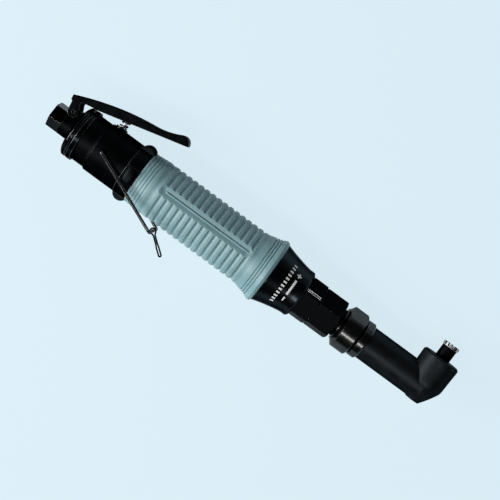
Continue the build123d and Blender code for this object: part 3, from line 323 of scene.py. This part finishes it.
def rubber_finish():
    """Teal-grey moulded rubber with a soft gloss, a fine grain and patches of a little dust."""
    made = Finish("grip_rubber_look", roughness=0.48, specular=0.6)
    cloud = made.noise(size=14 * MM, detail=4.0)
    fine = made.noise(size=0.35 * MM, detail=3.0)
    base = made.mix(made.ramp(cloud), RUBBER_DARK, RUBBER_LIGHT)
    dust = made.ramp(made.noise(size=1.6 * MM, detail=6.0), low=0.55, high=0.8, high_out=0.35)
    made.colour(made.mix(dust, base, RUBBER_DUST))
    made.roughness(made.ramp(fine, low_out=0.42, high_out=0.54))
    made.bump(fine, depth=0.05 * MM)
    return made.done()


# Painted shade: the end ring is coloured black inside and in its slots, where shade falls
RING_PAINTED_SHADE = (0.012, 0.012, 0.013)
RING_DARK = (0.36, 0.365, 0.375)
RING_LIGHT = (0.44, 0.445, 0.45)
RING_SHADE_FROM = 0.45 * MM
RING_BRIGHT_TO = 0.15 * MM


def end_ring_finish():
    """Bright rim on a ring, with painted shade that keeps it black inside and in its slots, nearer to the
    spindle's axis.
    """
    made = Finish("end_ring_look", roughness=0.42, metallic=1.0)
    made.round_edges(STEEL_EDGE)
    flattened = made.node("ShaderNodeMapping")
    flattened.inputs["Location"].default_value = (-(ring_low.x + ring_high.x) / 2, 0, 0)
    flattened.inputs["Scale"].default_value = (1, 0, 1)
    made.link(made.coordinates, flattened.inputs["Vector"])
    distance = made.node("ShaderNodeVectorMath", operation="LENGTH")
    made.link(flattened.outputs["Vector"], distance.inputs[0])
    radius = (ring_high.x - ring_low.x) / 2
    # Painted shade: black from a little inside the rim inwards, standing in for the shade inside the ring and in
    # its slots
    outside = made.ramp(distance.outputs["Value"], low=radius - RING_SHADE_FROM, high=radius - RING_BRIGHT_TO)
    cloud = made.ramp(made.noise(size=1.5 * MM, detail=3.0))
    bright = made.mix(cloud, RING_DARK, RING_LIGHT)
    made.colour(made.mix(outside, RING_PAINTED_SHADE, bright))
    made.bump(made.noise(size=0.5 * MM, detail=3.0, stretch=(1, 8, 1)), depth=0.004 * MM)
    return made.done()


PLAIN_GLOSS_SPREAD = 0.06


def plain_finish(name, dark, light, roughness, size, depth, metallic=0.0):
    """Grain of a given size that carries colour, gloss and bump alike."""
    made = Finish(name, roughness, metallic=metallic)
    grain = made.noise(size, detail=4.0)
    made.colour(made.mix(made.ramp(grain), dark, light))
    smoother = roughness - PLAIN_GLOSS_SPREAD
    rougher = roughness + PLAIN_GLOSS_SPREAD
    made.roughness(made.ramp(grain, low_out=smoother, high_out=rougher))
    made.bump(grain, depth)
    return made.done()


# Looks of the material slots, and of single pieces that differ from their slot

looks = {
    "black_anodised": black_finish(
        "black_anodised_look", roughness=0.5, reflectance=0.0215, rim=0.35, edge=0.35 * MM),
    "black_paint": black_finish(
        "black_paint_look", roughness=0.24, reflectance=0.0215, rim=0.4, edge=0.8 * MM, grain=0.2 * MM),
    "black_oxide": black_finish(
        "black_oxide_look", roughness=0.20, reflectance=0.052, rim=0.6, edge=0.35 * MM, tint=OXIDE_TINT),
    "lever_black": black_finish(
        "lever_black_look", roughness=0.38, reflectance=0.008, rim=0.3, edge=0.35 * MM, grain=0.25 * MM,
        wear=0.2),
    "wire_steel": black_finish(
        "wire_steel_look", roughness=0.16, reflectance=0.060, rim=0.25, edge=0.15 * MM),
    "grip_rubber": rubber_finish(),
    "bright_steel": steel_finish(
        "bright_steel_look", dark=(0.74, 0.75, 0.77), light=(0.88, 0.89, 0.90), roughness=0.46,
        stretch=(1, 8, 1), line_size=0.5 * MM, line_depth=0.004 * MM),
    "inner_steel": steel_finish(
        "inner_steel_look", dark=(0.34, 0.34, 0.35), light=(0.46, 0.46, 0.47), roughness=0.32,
        stretch=(8, 1, 1), line_size=0.6 * MM, line_depth=0.006 * MM),
    "bearing_steel": steel_finish(
        "bearing_steel_look", dark=(0.52, 0.52, 0.54), light=(0.62, 0.62, 0.64), roughness=0.2,
        stretch=(8, 1, 1), line_size=0.5 * MM, line_depth=0.003 * MM),
    "bush_bronze": plain_finish(
        "bush_bronze_look", dark=(0.42, 0.26, 0.09), light=(0.56, 0.38, 0.16), roughness=0.42,
        size=0.3 * MM, depth=0.01 * MM, metallic=1.0),
    "vane_phenolic": plain_finish(
        "vane_phenolic_look", dark=(0.16, 0.085, 0.04), light=(0.24, 0.14, 0.07), roughness=0.55,
        size=0.5 * MM, depth=0.01 * MM),
    "seal_rubber": plain_finish(
        "seal_rubber_look", dark=(0.012, 0.012, 0.012), light=(0.022, 0.022, 0.022), roughness=0.6,
        size=0.3 * MM, depth=0.02 * MM),
}

node_looks = {
    "valve_body": black_finish(
        "body_black_look", roughness=0.42, reflectance=0.005, rim=0.25, edge=0.35 * MM, grain=0.15 * MM),
    "inlet_bushing": black_finish(
        "inlet_black_look", roughness=0.2, reflectance=0.008, rim=1.0, edge=0.4 * MM, wear=0.3),
    "exhaust_deflector": black_finish(
        "deflector_black_look", roughness=0.22, reflectance=0.012, rim=0.25, edge=0.5 * MM, wear=0.3),
    "hanger_bail": black_finish(
        "bail_black_look", roughness=0.18, reflectance=0.09, rim=0.2, edge=0.15 * MM, tint=OXIDE_TINT),
    "hanger_link": black_finish(
        "link_black_look", roughness=0.3, reflectance=0.010, rim=0.25, edge=0.15 * MM),
    "reverse_ring": black_finish(
        "ring_black_look", roughness=0.42, reflectance=0.008, rim=0.3, edge=0.4 * MM, grain=0.2 * MM,
        wear=0.3),
    "front_housing": black_finish(
        "housing_black_look", roughness=0.45, reflectance=0.003, rim=0.5, edge=0.35 * MM, grain=0.15 * MM),
    "output_spindle": black_finish(
        "spindle_black_look", roughness=0.42, reflectance=0.004, rim=0.4, edge=0.35 * MM),
    "end_ring": end_ring_finish(),
}

mark_white = plain_finish(
    "mark_white_look", dark=(0.62, 0.63, 0.63), light=(0.82, 0.83, 0.83), roughness=0.5,
    size=0.4 * MM, depth=0.01 * MM)

for row in frame["record"]["subparts"]:
    solid = frame["nodes"][row["node"]]
    solid.data.materials.clear()
    solid.data.materials.append(node_looks.get(row["node"], looks[row["material_slot"]]))


# Rubber grip: places along it run from its rear end, and its functions take and give millimetres

grip_length_mm = (grip_high.x - grip_low.x) / MM

GRIP_REAR_RADIUS_MM = 19.8
GRIP_MAIN_RADIUS_MM = 21.0
GRIP_BORE_RADIUS_MM = 17.53
SWELL_START_MM = -4.0
SWELL_END_MM = 15.5
FLARE_START_MM = 96.0
FLARE_EASE_MM = 3.0
FLARE_CREST_MM = 109.7
FLARE_TOP_RADIUS_MM = 24.9
FLARE_HOLLOW_MM = 0.45
LIP_DROP_MM = 1.5
LIP_POWER = 4
REAR_ROUND_MM = 0.7
WAIST_MM = 15.0
WAIST_WIDTH_MM = 6.0
WAIST_DEPTH_MM = 0.5
GROOVE_FIRST_MM = 20.9
GROOVE_PITCH_MM = 5.12
GROOVE_COUNT = 15
GROOVE_WIDTH_MM = 3.3
GROOVE_DEPTH_MM = 1.05
REAR_FINE_MM = 2.3
REAR_FINE_PITCH_MM = 2.38
REAR_FINE_COUNT = 4
REAR_FINE_DEPTH_MM = 0.35
FRONT_FINE_MM = 102.8
FRONT_FINE_PITCH_MM = 1.93
FRONT_FINE_COUNT = 3
FRONT_FINE_DEPTH_MM = 0.75
FINE_WIDTH_MM = 1.5
LIP_GROOVE_MM = 111.0
LIP_GROOVE_DEPTH_MM = 0.3
STRIP_TURN = math.radians(10.8)
STRIP_HALF_MM = 4.35
STRIP_START_MM = 17.0
STRIP_END_MM = 94.5
STRIP_DIP_MM = 1.5
STRIP_EDGE_INSIDE_MM = 0.6
STRIP_EDGE_OUTSIDE_MM = 0.3
RIDGE_START_MM = 21.9
RIDGE_END_MM = 92.0
RIDGE_FADE_MM = 1.5
RIDGE_HALF_MM = 1.0
RIDGE_RISE_MM = 1.1
FACET_COUNT = 6
FACET_DROP_MM = 1.05
FACET_REAR_MM = 10.0
FACET_FRONT_MM = 101.0
FACET_FADE_MM = 9.0
GRIP_STEP_MM = 0.3
FINE_ARC_HALF_DEG = 17.0
FINE_STEP_DEG = 0.7
COARSE_STEP_DEG = 2.0


def flare_radius(x):
    """The flare is a hollow arc from the grip's main part to the crest, and then a falling lip."""
    if x > FLARE_CREST_MM:
        share = (x - FLARE_CREST_MM) / (grip_length_mm - FLARE_CREST_MM)
        return FLARE_TOP_RADIUS_MM - LIP_DROP_MM * share ** LIP_POWER
    eased = smooth_step(FLARE_START_MM, FLARE_START_MM + FLARE_EASE_MM, x)
    share = eased * (x - FLARE_START_MM) / (FLARE_CREST_MM - FLARE_START_MM)
    rise = FLARE_TOP_RADIUS_MM - GRIP_MAIN_RADIUS_MM
    return GRIP_MAIN_RADIUS_MM + rise * share - 4 * FLARE_HOLLOW_MM * share * (1 - share)


def plain_radius(x):
    """Radius of the grip without its relief: a swell from the rear end, a main part and the flare."""
    if x > FLARE_START_MM:
        return flare_radius(x)
    swell = smooth_step(SWELL_START_MM, SWELL_END_MM, x)
    return GRIP_REAR_RADIUS_MM + (GRIP_MAIN_RADIUS_MM - GRIP_REAR_RADIUS_MM) * swell


def end_relief(x):
    """Depth of what runs all round near the two ends: the fine grooves, the lip's groove and the waist."""
    depth = LIP_GROOVE_DEPTH_MM * hollow(x, LIP_GROOVE_MM, FINE_WIDTH_MM)
    depth += WAIST_DEPTH_MM * hollow(x, WAIST_MM, WAIST_WIDTH_MM)
    for index in range(REAR_FINE_COUNT):
        depth += REAR_FINE_DEPTH_MM * hollow(x, REAR_FINE_MM + REAR_FINE_PITCH_MM * index, FINE_WIDTH_MM)
    for index in range(FRONT_FINE_COUNT):
        depth += FRONT_FINE_DEPTH_MM * hollow(x, FRONT_FINE_MM + FRONT_FINE_PITCH_MM * index, FINE_WIDTH_MM)
    return depth


def strip_distance(angle):
    """Angle to the nearer of the two strips, which lie on opposite sides."""
    turned = (angle - math.pi / 2 + STRIP_TURN) % math.pi
    return min(turned, math.pi - turned)


def facet_rise(x, angle):
    """Rise of the slightly six-sided section, which has a corner at each strip."""
    faceted = smooth_step(0, FACET_FADE_MM, min(x - FACET_REAR_MM, FACET_FRONT_MM - x))
    return FACET_DROP_MM / 2 * faceted * math.cos(FACET_COUNT * strip_distance(angle))


def strip_relief(x, angle):
    """Depth of the grooves, which stop at the two strips, and of each strip's channel less its ridge."""
    aside = strip_distance(angle) * GRIP_MAIN_RADIUS_MM
    past_end = max(STRIP_START_MM + STRIP_HALF_MM - x, x - STRIP_END_MM + STRIP_HALF_MM, 0.0)
    reach = math.hypot(past_end, aside)
    on_until = STRIP_HALF_MM - STRIP_EDGE_INSIDE_MM
    off_from = STRIP_HALF_MM + STRIP_EDGE_OUTSIDE_MM
    off_strip = smooth_step(on_until, off_from, reach)
    nearest = round((x - GROOVE_FIRST_MM) / GROOVE_PITCH_MM)
    nearest = min(GROOVE_COUNT - 1, max(0, nearest))
    groove = off_strip * hollow(x, GROOVE_FIRST_MM + GROOVE_PITCH_MM * nearest, GROOVE_WIDTH_MM)
    channel = min(1.0, max(0.0, (STRIP_HALF_MM - reach) / (STRIP_HALF_MM - RIDGE_HALF_MM)))
    ridge_ends = smooth_step(0, RIDGE_FADE_MM, min(x - RIDGE_START_MM, RIDGE_END_MM - x))
    ridge = ridge_ends * hollow(aside, 0.0, 2 * RIDGE_HALF_MM)
    return GROOVE_DEPTH_MM * groove + STRIP_DIP_MM * channel - RIDGE_RISE_MM * ridge


def rear_rounding(x):
    """Depth of the quarter circle that rounds off the rear end."""
    short = max(0.0, 1 - x / REAR_ROUND_MM)
    return REAR_ROUND_MM * (1 - math.sqrt(1 - short * short))


def grip_radius(x, angle):
    """Outer radius of the grip at a place along it and an angle about the tool's axis."""
    radius = plain_radius(x) + facet_rise(x, angle)
    return radius - end_relief(x) - strip_relief(x, angle) - rear_rounding(x)


def grip_angles():
    """Angles about the axis, close together over the two strips."""
    first_deg = 90 - math.degrees(STRIP_TURN) - FINE_ARC_HALF_DEG
    fine_deg = 2 * FINE_ARC_HALF_DEG
    coarse_deg = 180 - fine_deg
    fine_count = round(fine_deg / FINE_STEP_DEG)
    coarse_count = round(coarse_deg / COARSE_STEP_DEG)
    angles_deg = []
    for start_deg in (first_deg, first_deg + 180):
        angles_deg += even_steps(start_deg, fine_deg, fine_count)
        angles_deg += even_steps(start_deg + fine_deg, coarse_deg, coarse_count)
    return [math.radians(angle_deg) for angle_deg in angles_deg]


def grip_sleeve():
    """Rings of points along the outside, and one ring at each end of the bore."""
    angles = grip_angles()
    steps = round(grip_length_mm / GRIP_STEP_MM)
    points = []
    for step in range(steps + 1):
        x = grip_length_mm * step / steps
        points += [on_axis(grip_low.x + x * MM, grip_radius(x, angle) * MM, angle) for angle in angles]
    for x in (grip_high.x, grip_low.x):
        points += [on_axis(x, GRIP_BORE_RADIUS_MM * MM, angle) for angle in angles]
    faces = ring_faces(len(points) // len(angles), len(angles))
    piece = mesh_object("grip_sleeve", points, faces, looks["grip_rubber"], "housing")
    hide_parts("rubber_grip")


grip_sleeve()


# Round wire and coil springs

WIRE_SIDES = 14
STEPS_PER_TURN = 40
VALVE_WIRE_RADIUS = 0.5 * MM
VALVE_TURNS = 1.5
VALVE_END_TURNS = 0.6
CLUTCH_WIRE_RADIUS = 1.0 * MM
CLUTCH_TURNS = 6
CLUTCH_END_TURNS = 0.8


def wire_points(centres, outwards, wire_radius, closed=False):
    """Rings of points about a wire's centre line, each from the side that faces outward."""
    last = len(centres) - 1
    points = []
    for index, centre in enumerate(centres):
        before = centres[index - 1 if closed else max(index - 1, 0)]
        after = centres[(index + 1) % len(centres) if closed else min(index + 1, last)]
        heading = (after - before).normalized()
        upward = heading.cross(outwards[index]).normalized()
        outward = upward.cross(heading)
        for angle in even_steps(0, 2 * math.pi, WIRE_SIDES):
            points.append(centre + wire_radius * (math.cos(angle) * outward + math.sin(angle) * upward))
    return points


def coil(name, place, outer_radius, wire_radius, length, turns, end_turns, body, slot, part=(0.0, 1.0)):
    """Coil of round wire from the origin along +Z, with closed ends, set in place by a matrix.

    The part is the share of all the turns that is made, from its start to its end.
    """
    start, end = part
    total = turns + 2 * end_turns
    steps = round(total * (end - start) * STEPS_PER_TURN)
    coil_radius = outer_radius - wire_radius
    end_rise = end_turns * 2 * wire_radius
    free = length - 2 * wire_radius - 2 * end_rise
    centres = []
    for step in range(steps + 1):
        turn = total * (start + (end - start) * step / steps)
        rise = wire_radius + 2 * wire_radius * min(turn, end_turns)
        rise += free * min(max(turn - end_turns, 0.0), turns) / turns
        rise += 2 * wire_radius * max(turn - end_turns - turns, 0.0)
        angle = 2 * math.pi * turn
        centres.append(Vector((coil_radius * math.cos(angle), coil_radius * math.sin(angle), rise)))
    outwards = [Vector((centre.x, centre.y, 0)) for centre in centres]
    points = [place @ point for point in wire_points(centres, outwards, wire_radius)]
    return mesh_object(name, points, tube_faces(steps + 1, WIRE_SIDES), looks[slot], body)


def valve_spring():
    """Coil under the lever, at the length of the solid it stands for."""
    middle = (spring_low + spring_high) / 2
    length = spring_high.y - spring_low.y
    outer = (spring_high.x - spring_low.x) / 2
    place = Matrix.Translation((middle.x, spring_low.y, 0)) @ Matrix.Rotation(-math.pi / 2, 4, "X")
    piece = coil(
        "valve_spring_coil", place, outer, VALVE_WIRE_RADIUS, length, VALVE_TURNS, VALVE_END_TURNS,
        "housing", "wire_steel")
    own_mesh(piece)
    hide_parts("valve_spring")


def clutch_spring():
    """Two stretches of one coil, the rear one and the front one, both riding on the clutch shaft."""
    length = clutch_high.x - clutch_low.x
    place = Matrix.Translation((clutch_low.x, 0, 0)) @ Matrix.Rotation(math.pi / 2, 4, "Y")
    stretches = (
        ("clutch_spring_rear", (0.0, 0.5), "jaw_slide"),
        ("clutch_spring_front", (0.5, 1.0), "adjuster_travel"),
    )
    for name, part, joint in stretches:
        piece = coil(
            name, place, clutch_high.y, CLUTCH_WIRE_RADIUS, length, CLUTCH_TURNS, CLUTCH_END_TURNS,
            "clutch_shaft", "inner_steel", part)
        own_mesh(piece)
        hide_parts("clutch_spring")


valve_spring()
clutch_spring()


# Wire link on the bail: an eye, two strands side by side and a narrow loop at the tip

LINK_TURN = math.radians(-38.7)
LINK_LENGTH_MM = 17.8
LINK_WIRE_RADIUS_MM = 0.6
LINK_EYE_RADIUS_MM = 2.0
LINK_NECK_HALF_MM = 0.62
LINK_TIP_RADIUS_MM = 0.88
NECK_START_MM = 3.6
NECK_END_MM = 9.5
LOOP_START_MM = 12.0
STRAND_STEPS = 72
ARC_STEPS = 16


def strand_offset(x):
    """Distance of a strand's centre from the link's middle line, at a place along it, in millimetres."""
    drawn_in = (LINK_EYE_RADIUS_MM - LINK_NECK_HALF_MM) * smooth_step(0, NECK_START_MM, x)
    let_out = (LINK_TIP_RADIUS_MM - LINK_NECK_HALF_MM) * smooth_step(NECK_END_MM, LOOP_START_MM, x)
    return LINK_EYE_RADIUS_MM - drawn_in + let_out


def half_circle(centre_x, radius, start):
    """Points of half a circle in the link's plane, turning clockwise, in millimetres."""
    angles = even_steps(start, -math.pi, ARC_STEPS)
    return [(centre_x + radius * math.cos(angle), radius * math.sin(angle)) for angle in angles]


def hanger_link():
    """One closed wire: out along a strand, round the tip, back along the other strand and round the eye."""
    out_mm = even_steps(0, LINK_LENGTH_MM, STRAND_STEPS)
    back_mm = [LINK_LENGTH_MM - x for x in out_mm]
    route_mm = [(x, strand_offset(x)) for x in out_mm]
    route_mm += half_circle(LINK_LENGTH_MM, LINK_TIP_RADIUS_MM, math.pi / 2)
    route_mm += [(x, -strand_offset(x)) for x in back_mm]
    route_mm += half_circle(0, LINK_EYE_RADIUS_MM, -math.pi / 2)
    pivot = joint_row("link_swing")["pos_m"]
    place = Matrix.Translation(pivot) @ Matrix.Rotation(LINK_TURN, 4, "Z")
    centres = [place @ Vector((x * MM, y * MM, 0)) for x, y in route_mm]
    outwards = [Vector((0, 0, 1))] * len(centres)
    points = wire_points(centres, outwards, LINK_WIRE_RADIUS_MM * MM, closed=True)
    faces = ring_faces(len(centres), WIRE_SIDES)
    piece = mesh_object("link_wire", points, faces, node_looks["hanger_link"], "hanger_link")
    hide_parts("hanger_link")


hanger_link()


# White marks on the collar: a plain scale, a bar, and a plus and a minus at the bar's ends

MARK_RISE = 0.05 * MM
MARK_ROOT = 0.2 * MM
MARK_ROWS = 2
TICK_FROM_REAR_MM = 11.6
TICK_LENGTH_MM = 2.6
TICK_WIDTH_DEG = 3.6
TICK_CELLS = 2
TICK_COUNT = 12
TICK_STEP_DEG = 8.2
SCALE_MIDDLE_DEG = 87.4
BAR_FROM_REAR_MM = 17.4
BAR_LENGTH_MM = 1.6
BAR_HALF_DEG = 18.0
BAR_MIDDLE_DEG = 84.6
BAR_CELLS = 24
SIGN_FROM_BAR_DEG = 30.0
SIGN_SIZE_MM = 3.6
SIGN_STROKE_MM = 1.0


def collar_radius(x, angle):
    """Radius of the collar's surface at a place along it and an angle."""
    outside = Vector(on_axis(x, well_outside, angle))
    place = surface_point("gear_case", outside, Vector((0, -outside.y, -outside.z)))
    return math.hypot(place.y, place.z)


def raised_mark(name, x_edges, angle_edges, cells):
    """Thin closed patch on the collar, made of the chosen cells of a grid of places and angles."""
    places = [(x, angle) for x in x_edges for angle in angle_edges]
    radii = [collar_radius(x, angle) for x, angle in places]
    tops = [on_axis(x, radius + MARK_RISE, angle) for (x, angle), radius in zip(places, radii)]
    roots = [on_axis(x, radius - MARK_ROOT, angle) for (x, angle), radius in zip(places, radii)]
    columns = len(angle_edges)
    below = len(places)
    faces = []
    for row, column in cells:
        corners = [
            row * columns + column,
            row * columns + column + 1,
            (row + 1) * columns + column + 1,
            (row + 1) * columns + column,
        ]
        beside = [(row - 1, column), (row, column + 1), (row + 1, column), (row, column - 1)]
        faces.append(tuple(corners))
        faces.append(tuple(below + corner for corner in reversed(corners)))
        for side, other in enumerate(beside):
            if other not in cells:
                first = corners[side]
                second = corners[(side + 1) % len(corners)]
                faces.append((second, first, below + first, below + second))
    used = sorted({corner for face in faces for corner in face})
    renumbered = {corner: index for index, corner in enumerate(used)}
    points = [(tops + roots)[corner] for corner in used]
    faces = [tuple(renumbered[corner] for corner in face) for face in faces]
    mesh_object(name, points, faces, mark_white, "housing")


def edges(middle, half, count):
    """Edges of a number of equal cells."""
    return [middle - half + 2 * half * index / count for index in range(count + 1)]


def plain_mark(name, from_rear_mm, length_mm, middle_deg, half_deg, columns):
    """Four-sided mark that follows the collar's curve."""
    x_edges = edges(case_low.x + from_rear_mm * MM, length_mm * MM / 2, MARK_ROWS)
    angle_edges = [math.radians(edge_deg) for edge_deg in edges(middle_deg, half_deg, columns)]
    cells = {(row, column) for row in range(MARK_ROWS) for column in range(columns)}
    raised_mark(name, x_edges, angle_edges, cells)


def sign_mark(name, middle_deg, upright):
    """Minus sign across the collar, or a plus sign with an upright stroke as well."""
    middle = case_low.x + BAR_FROM_REAR_MM * MM
    middle_angle = math.radians(middle_deg)
    around_collar = collar_radius(middle, middle_angle)
    offsets = [side * MM / 2 for side in (-SIGN_SIZE_MM, -SIGN_STROKE_MM, SIGN_STROKE_MM, SIGN_SIZE_MM)]
    x_edges = [middle + offset for offset in offsets]
    angle_edges = [middle_angle + offset / around_collar for offset in offsets]
    cells = {(1, 0), (1, 1), (1, 2)}
    if upright:
        cells |= {(0, 1), (2, 1)}
    raised_mark(name, x_edges, angle_edges, cells)


def collar_marks():
    """The scale's ticks, the bar, and a sign at each end of the bar."""
    for index in range(TICK_COUNT):
        middle_deg = SCALE_MIDDLE_DEG + TICK_STEP_DEG * (index - (TICK_COUNT - 1) / 2)
        plain_mark(
            f"scale_tick_{index + 1}", TICK_FROM_REAR_MM, TICK_LENGTH_MM, middle_deg, TICK_WIDTH_DEG / 2,
            TICK_CELLS)
    plain_mark("torque_bar", BAR_FROM_REAR_MM, BAR_LENGTH_MM, BAR_MIDDLE_DEG, BAR_HALF_DEG, BAR_CELLS)
    sign_mark("plus_mark", BAR_MIDDLE_DEG - SIGN_FROM_BAR_DEG, True)
    sign_mark("minus_mark", BAR_MIDDLE_DEG + SIGN_FROM_BAR_DEG, False)


collar_marks()


# Bare metal along the two edges of the slot in the front housing

SLOT_TURN = math.radians(63.0)
SLOT_UP = Vector((0, math.cos(SLOT_TURN), math.sin(SLOT_TURN)))
SLOT_SIDEWAYS = Vector((0, -math.sin(SLOT_TURN), math.cos(SLOT_TURN)))
SLOT_START_MM = 0.4
SLOT_LENGTH_MM = 11.4
EDGE_ASIDE_MM = 0.8
EDGE_RADIUS_MM = 0.21
EDGE_SUNK_MM = 0.12
EDGE_SIDES = 12
FLAT_NEAR_MM = 1.4
FLAT_FAR_MM = 2.0


def beside_slot(x, aside):
    """Place on the front housing's surface, beside the slot's middle."""
    start = Vector((x, 0, 0)) + well_outside * SLOT_UP + aside * SLOT_SIDEWAYS
    return surface_point("front_housing", start, -SLOT_UP)


def slot_edge(name, side):
    """Thin rounded lip along one edge, in line with the flat beside the slot."""
    start = case_high.x + SLOT_START_MM * MM
    end = start + SLOT_LENGTH_MM * MM
    near = beside_slot((start + end) / 2, side * FLAT_NEAR_MM * MM)
    far = beside_slot((start + end) / 2, side * FLAT_FAR_MM * MM)
    share = (EDGE_ASIDE_MM - FLAT_NEAR_MM) / (FLAT_FAR_MM - FLAT_NEAR_MM)
    middle = near + share * (far - near) - EDGE_SUNK_MM * MM * SLOT_UP
    points = []
    for x in (start, end):
        for angle in even_steps(0, 2 * math.pi, EDGE_SIDES):
            _, y, z = on_axis(x, EDGE_RADIUS_MM * MM, angle)
            points.append((x, middle.y + y, middle.z + z))
    faces = tube_faces(2, EDGE_SIDES)
    mesh_object(name, points, faces, looks["bright_steel"], "housing")


slot_edge("slot_edge_1", 1)
slot_edge("slot_edge_2", -1)


# Thread in the air inlet

THREAD_PITCH_MM = 1.34
THREAD_BORE_RADIUS_MM = 5.7
THREAD_HEIGHT_MM = 0.75
THREAD_SUNK_MM = 0.05
THREAD_ROOT_SHARE = 0.40
THREAD_CREST_SHARE = 0.06
THREAD_START_MM = 1.0
THREAD_END_MM = 11.2
THREAD_TURN_STEPS = 40


def inlet_thread():
    """Ridge of an inside thread, rooted in the wall of the inlet's bore."""
    steps = round((THREAD_END_MM - THREAD_START_MM) / THREAD_PITCH_MM * THREAD_TURN_STEPS)
    root_mm = THREAD_BORE_RADIUS_MM + THREAD_SUNK_MM
    crest_mm = THREAD_BORE_RADIUS_MM - THREAD_HEIGHT_MM
    section_mm = (
        (-THREAD_ROOT_SHARE * THREAD_PITCH_MM, root_mm),
        (-THREAD_CREST_SHARE * THREAD_PITCH_MM, crest_mm),
        (THREAD_CREST_SHARE * THREAD_PITCH_MM, crest_mm),
        (THREAD_ROOT_SHARE * THREAD_PITCH_MM, root_mm),
    )
    points = []
    for step in range(steps + 1):
        angle = 2 * math.pi * step / THREAD_TURN_STEPS
        middle_mm = THREAD_START_MM + THREAD_PITCH_MM * step / THREAD_TURN_STEPS
        for along_mm, radius_mm in section_mm:
            points.append(on_axis((middle_mm + along_mm) * MM, radius_mm * MM, angle))
    faces = tube_faces(steps + 1, len(section_mm))
    mesh_object("inlet_thread", points, faces, looks["black_oxide"], "housing")


inlet_thread()


# Floor, light and camera

FLOOR_COLOUR = (0.716, 0.863, 0.939, 1.0)
FLOOR_GLOW = 0.92
FLOOR_HALF = 10.0
BACKDROP_HEIGHT = 1.3
LAMP_TARGET = Vector((0.17, 0, 0))
WARM_WHITE = (1.0, 0.99, 0.97)
COOL_WHITE = (0.92, 0.97, 1.0)
WORLD_COLOUR = (0.90, 0.96, 1.0, 1.0)
WORLD_STRENGTH = 0.05
ALONG_TOOL = Vector((1, 0, 0))


def stage_material():
    """Pale floor that keeps a faint shadow and looks evenly lit to the camera and in reflections."""
    made = Finish("pale_floor", roughness=0.9, specular=0.1)
    made.shader.inputs["Base Color"].default_value = FLOOR_COLOUR
    glow = made.node("ShaderNodeEmission")
    glow.inputs["Color"].default_value = FLOOR_COLOUR
    path = made.node("ShaderNodeLightPath")
    seen = made.node("ShaderNodeMath", operation="MAXIMUM")
    made.link(path.outputs["Is Camera Ray"], seen.inputs[0])
    mirrored = made.node("ShaderNodeMath", operation="MAXIMUM")
    made.link(path.outputs["Is Glossy Ray"], mirrored.inputs[0])
    made.link(path.outputs["Is Transmission Ray"], mirrored.inputs[1])
    made.link(mirrored.outputs["Value"], seen.inputs[1])
    mixed = made.node("ShaderNodeMixShader")
    share = made.ramp(seen.outputs["Value"], low=0.0, high=1.0, high_out=FLOOR_GLOW)
    made.link(share, mixed.inputs["Fac"])
    made.link(made.shader.outputs["BSDF"], mixed.inputs[1])
    made.link(glow.outputs["Emission"], mixed.inputs[2])
    made.link(mixed.outputs["Shader"], made.tree.nodes["Material Output"].inputs["Surface"])
    return made.material


def floor():
    """Wide floor with a low backdrop all round it, far away, where flat views end."""
    corners = [(x * FLOOR_HALF, y * FLOOR_HALF) for x, y in ((-1, -1), (1, -1), (1, 1), (-1, 1))]
    points = [(x, y, cad_low.z + rise) for rise in (0, BACKDROP_HEIGHT) for x, y in corners]
    count = len(corners)
    walls = [(side, side + count, (side + 1) % count + count, (side + 1) % count) for side in range(count)]
    mesh = bpy.data.meshes.new("floor")
    mesh.from_pydata(points, [], [tuple(range(count)), *walls])
    mesh.materials.append(stage_material())
    made = bpy.data.objects.new("floor", mesh)
    bpy.context.scene.collection.objects.link(made)


def facing(place, target, along):
    """Matrix of a thing at a place that looks at a target down its -Z, its X axis nearest to along."""
    back = (place - target).normalized()
    right = (along - back * along.dot(back)).normalized()
    up = back.cross(right)
    made = Matrix((right, up, back)).transposed().to_4x4()
    made.translation = place
    return made


def lamp(name, place, width, depth, power, colour):
    """Oblong lamp that shines at the tool, its width turned as nearly along the tool as can be."""
    data = bpy.data.lights.new(name, "AREA")
    data.shape = "RECTANGLE"
    data.size = width
    data.size_y = depth
    data.energy = power
    data.color = colour
    made = bpy.data.objects.new(name, data)
    made.matrix_world = facing(Vector(place), LAMP_TARGET, ALONG_TOOL)
    bpy.context.scene.collection.objects.link(made)


def lights():
    """A narrow lamp high above, a wide one behind the inlet, a weak one on the +Y side and a dim world."""
    lamp("key_lamp", place=(0.21, -0.55, 1.08), width=0.90, depth=0.13, power=6.1, colour=WARM_WHITE)
    lamp("rear_lamp", place=(-0.81, -0.46, 0.62), width=0.9, depth=0.7, power=19.5, colour=WARM_WHITE)
    lamp("fill_lamp", place=(0.10, 1.1, 0.45), width=1.6, depth=0.6, power=0.8, colour=COOL_WHITE)
    world = bpy.data.worlds.new("studio")
    world.use_nodes = True
    background = world.node_tree.nodes["Background"]
    background.inputs["Color"].default_value = WORLD_COLOUR
    background.inputs["Strength"].default_value = WORLD_STRENGTH
    bpy.context.scene.world = world


def camera():
    """Camera above the tool, leaning a little and turned about its line of sight."""
    back = Vector((VIEW_LEAN_X, VIEW_LEAN_Y, 1.0)).normalized()
    along = (ALONG_TOOL - back * ALONG_TOOL.dot(back)).normalized()
    across = back.cross(along)
    right = math.cos(VIEW_TURN) * along + math.sin(VIEW_TURN) * across
    data = bpy.data.cameras.new("camera")
    data.sensor_width = SENSOR_MM
    data.lens = SENSOR_MM * VIEW_DISTANCE / VIEW_WIDTH
    made = bpy.data.objects.new("camera", data)
    made.matrix_world = facing(VIEW_TARGET + VIEW_DISTANCE * back, VIEW_TARGET, right)
    bpy.context.scene.collection.objects.link(made)
    bpy.context.scene.camera = made


floor()
lights()
camera()
bpy.context.scene.view_settings.view_transform = "Standard"
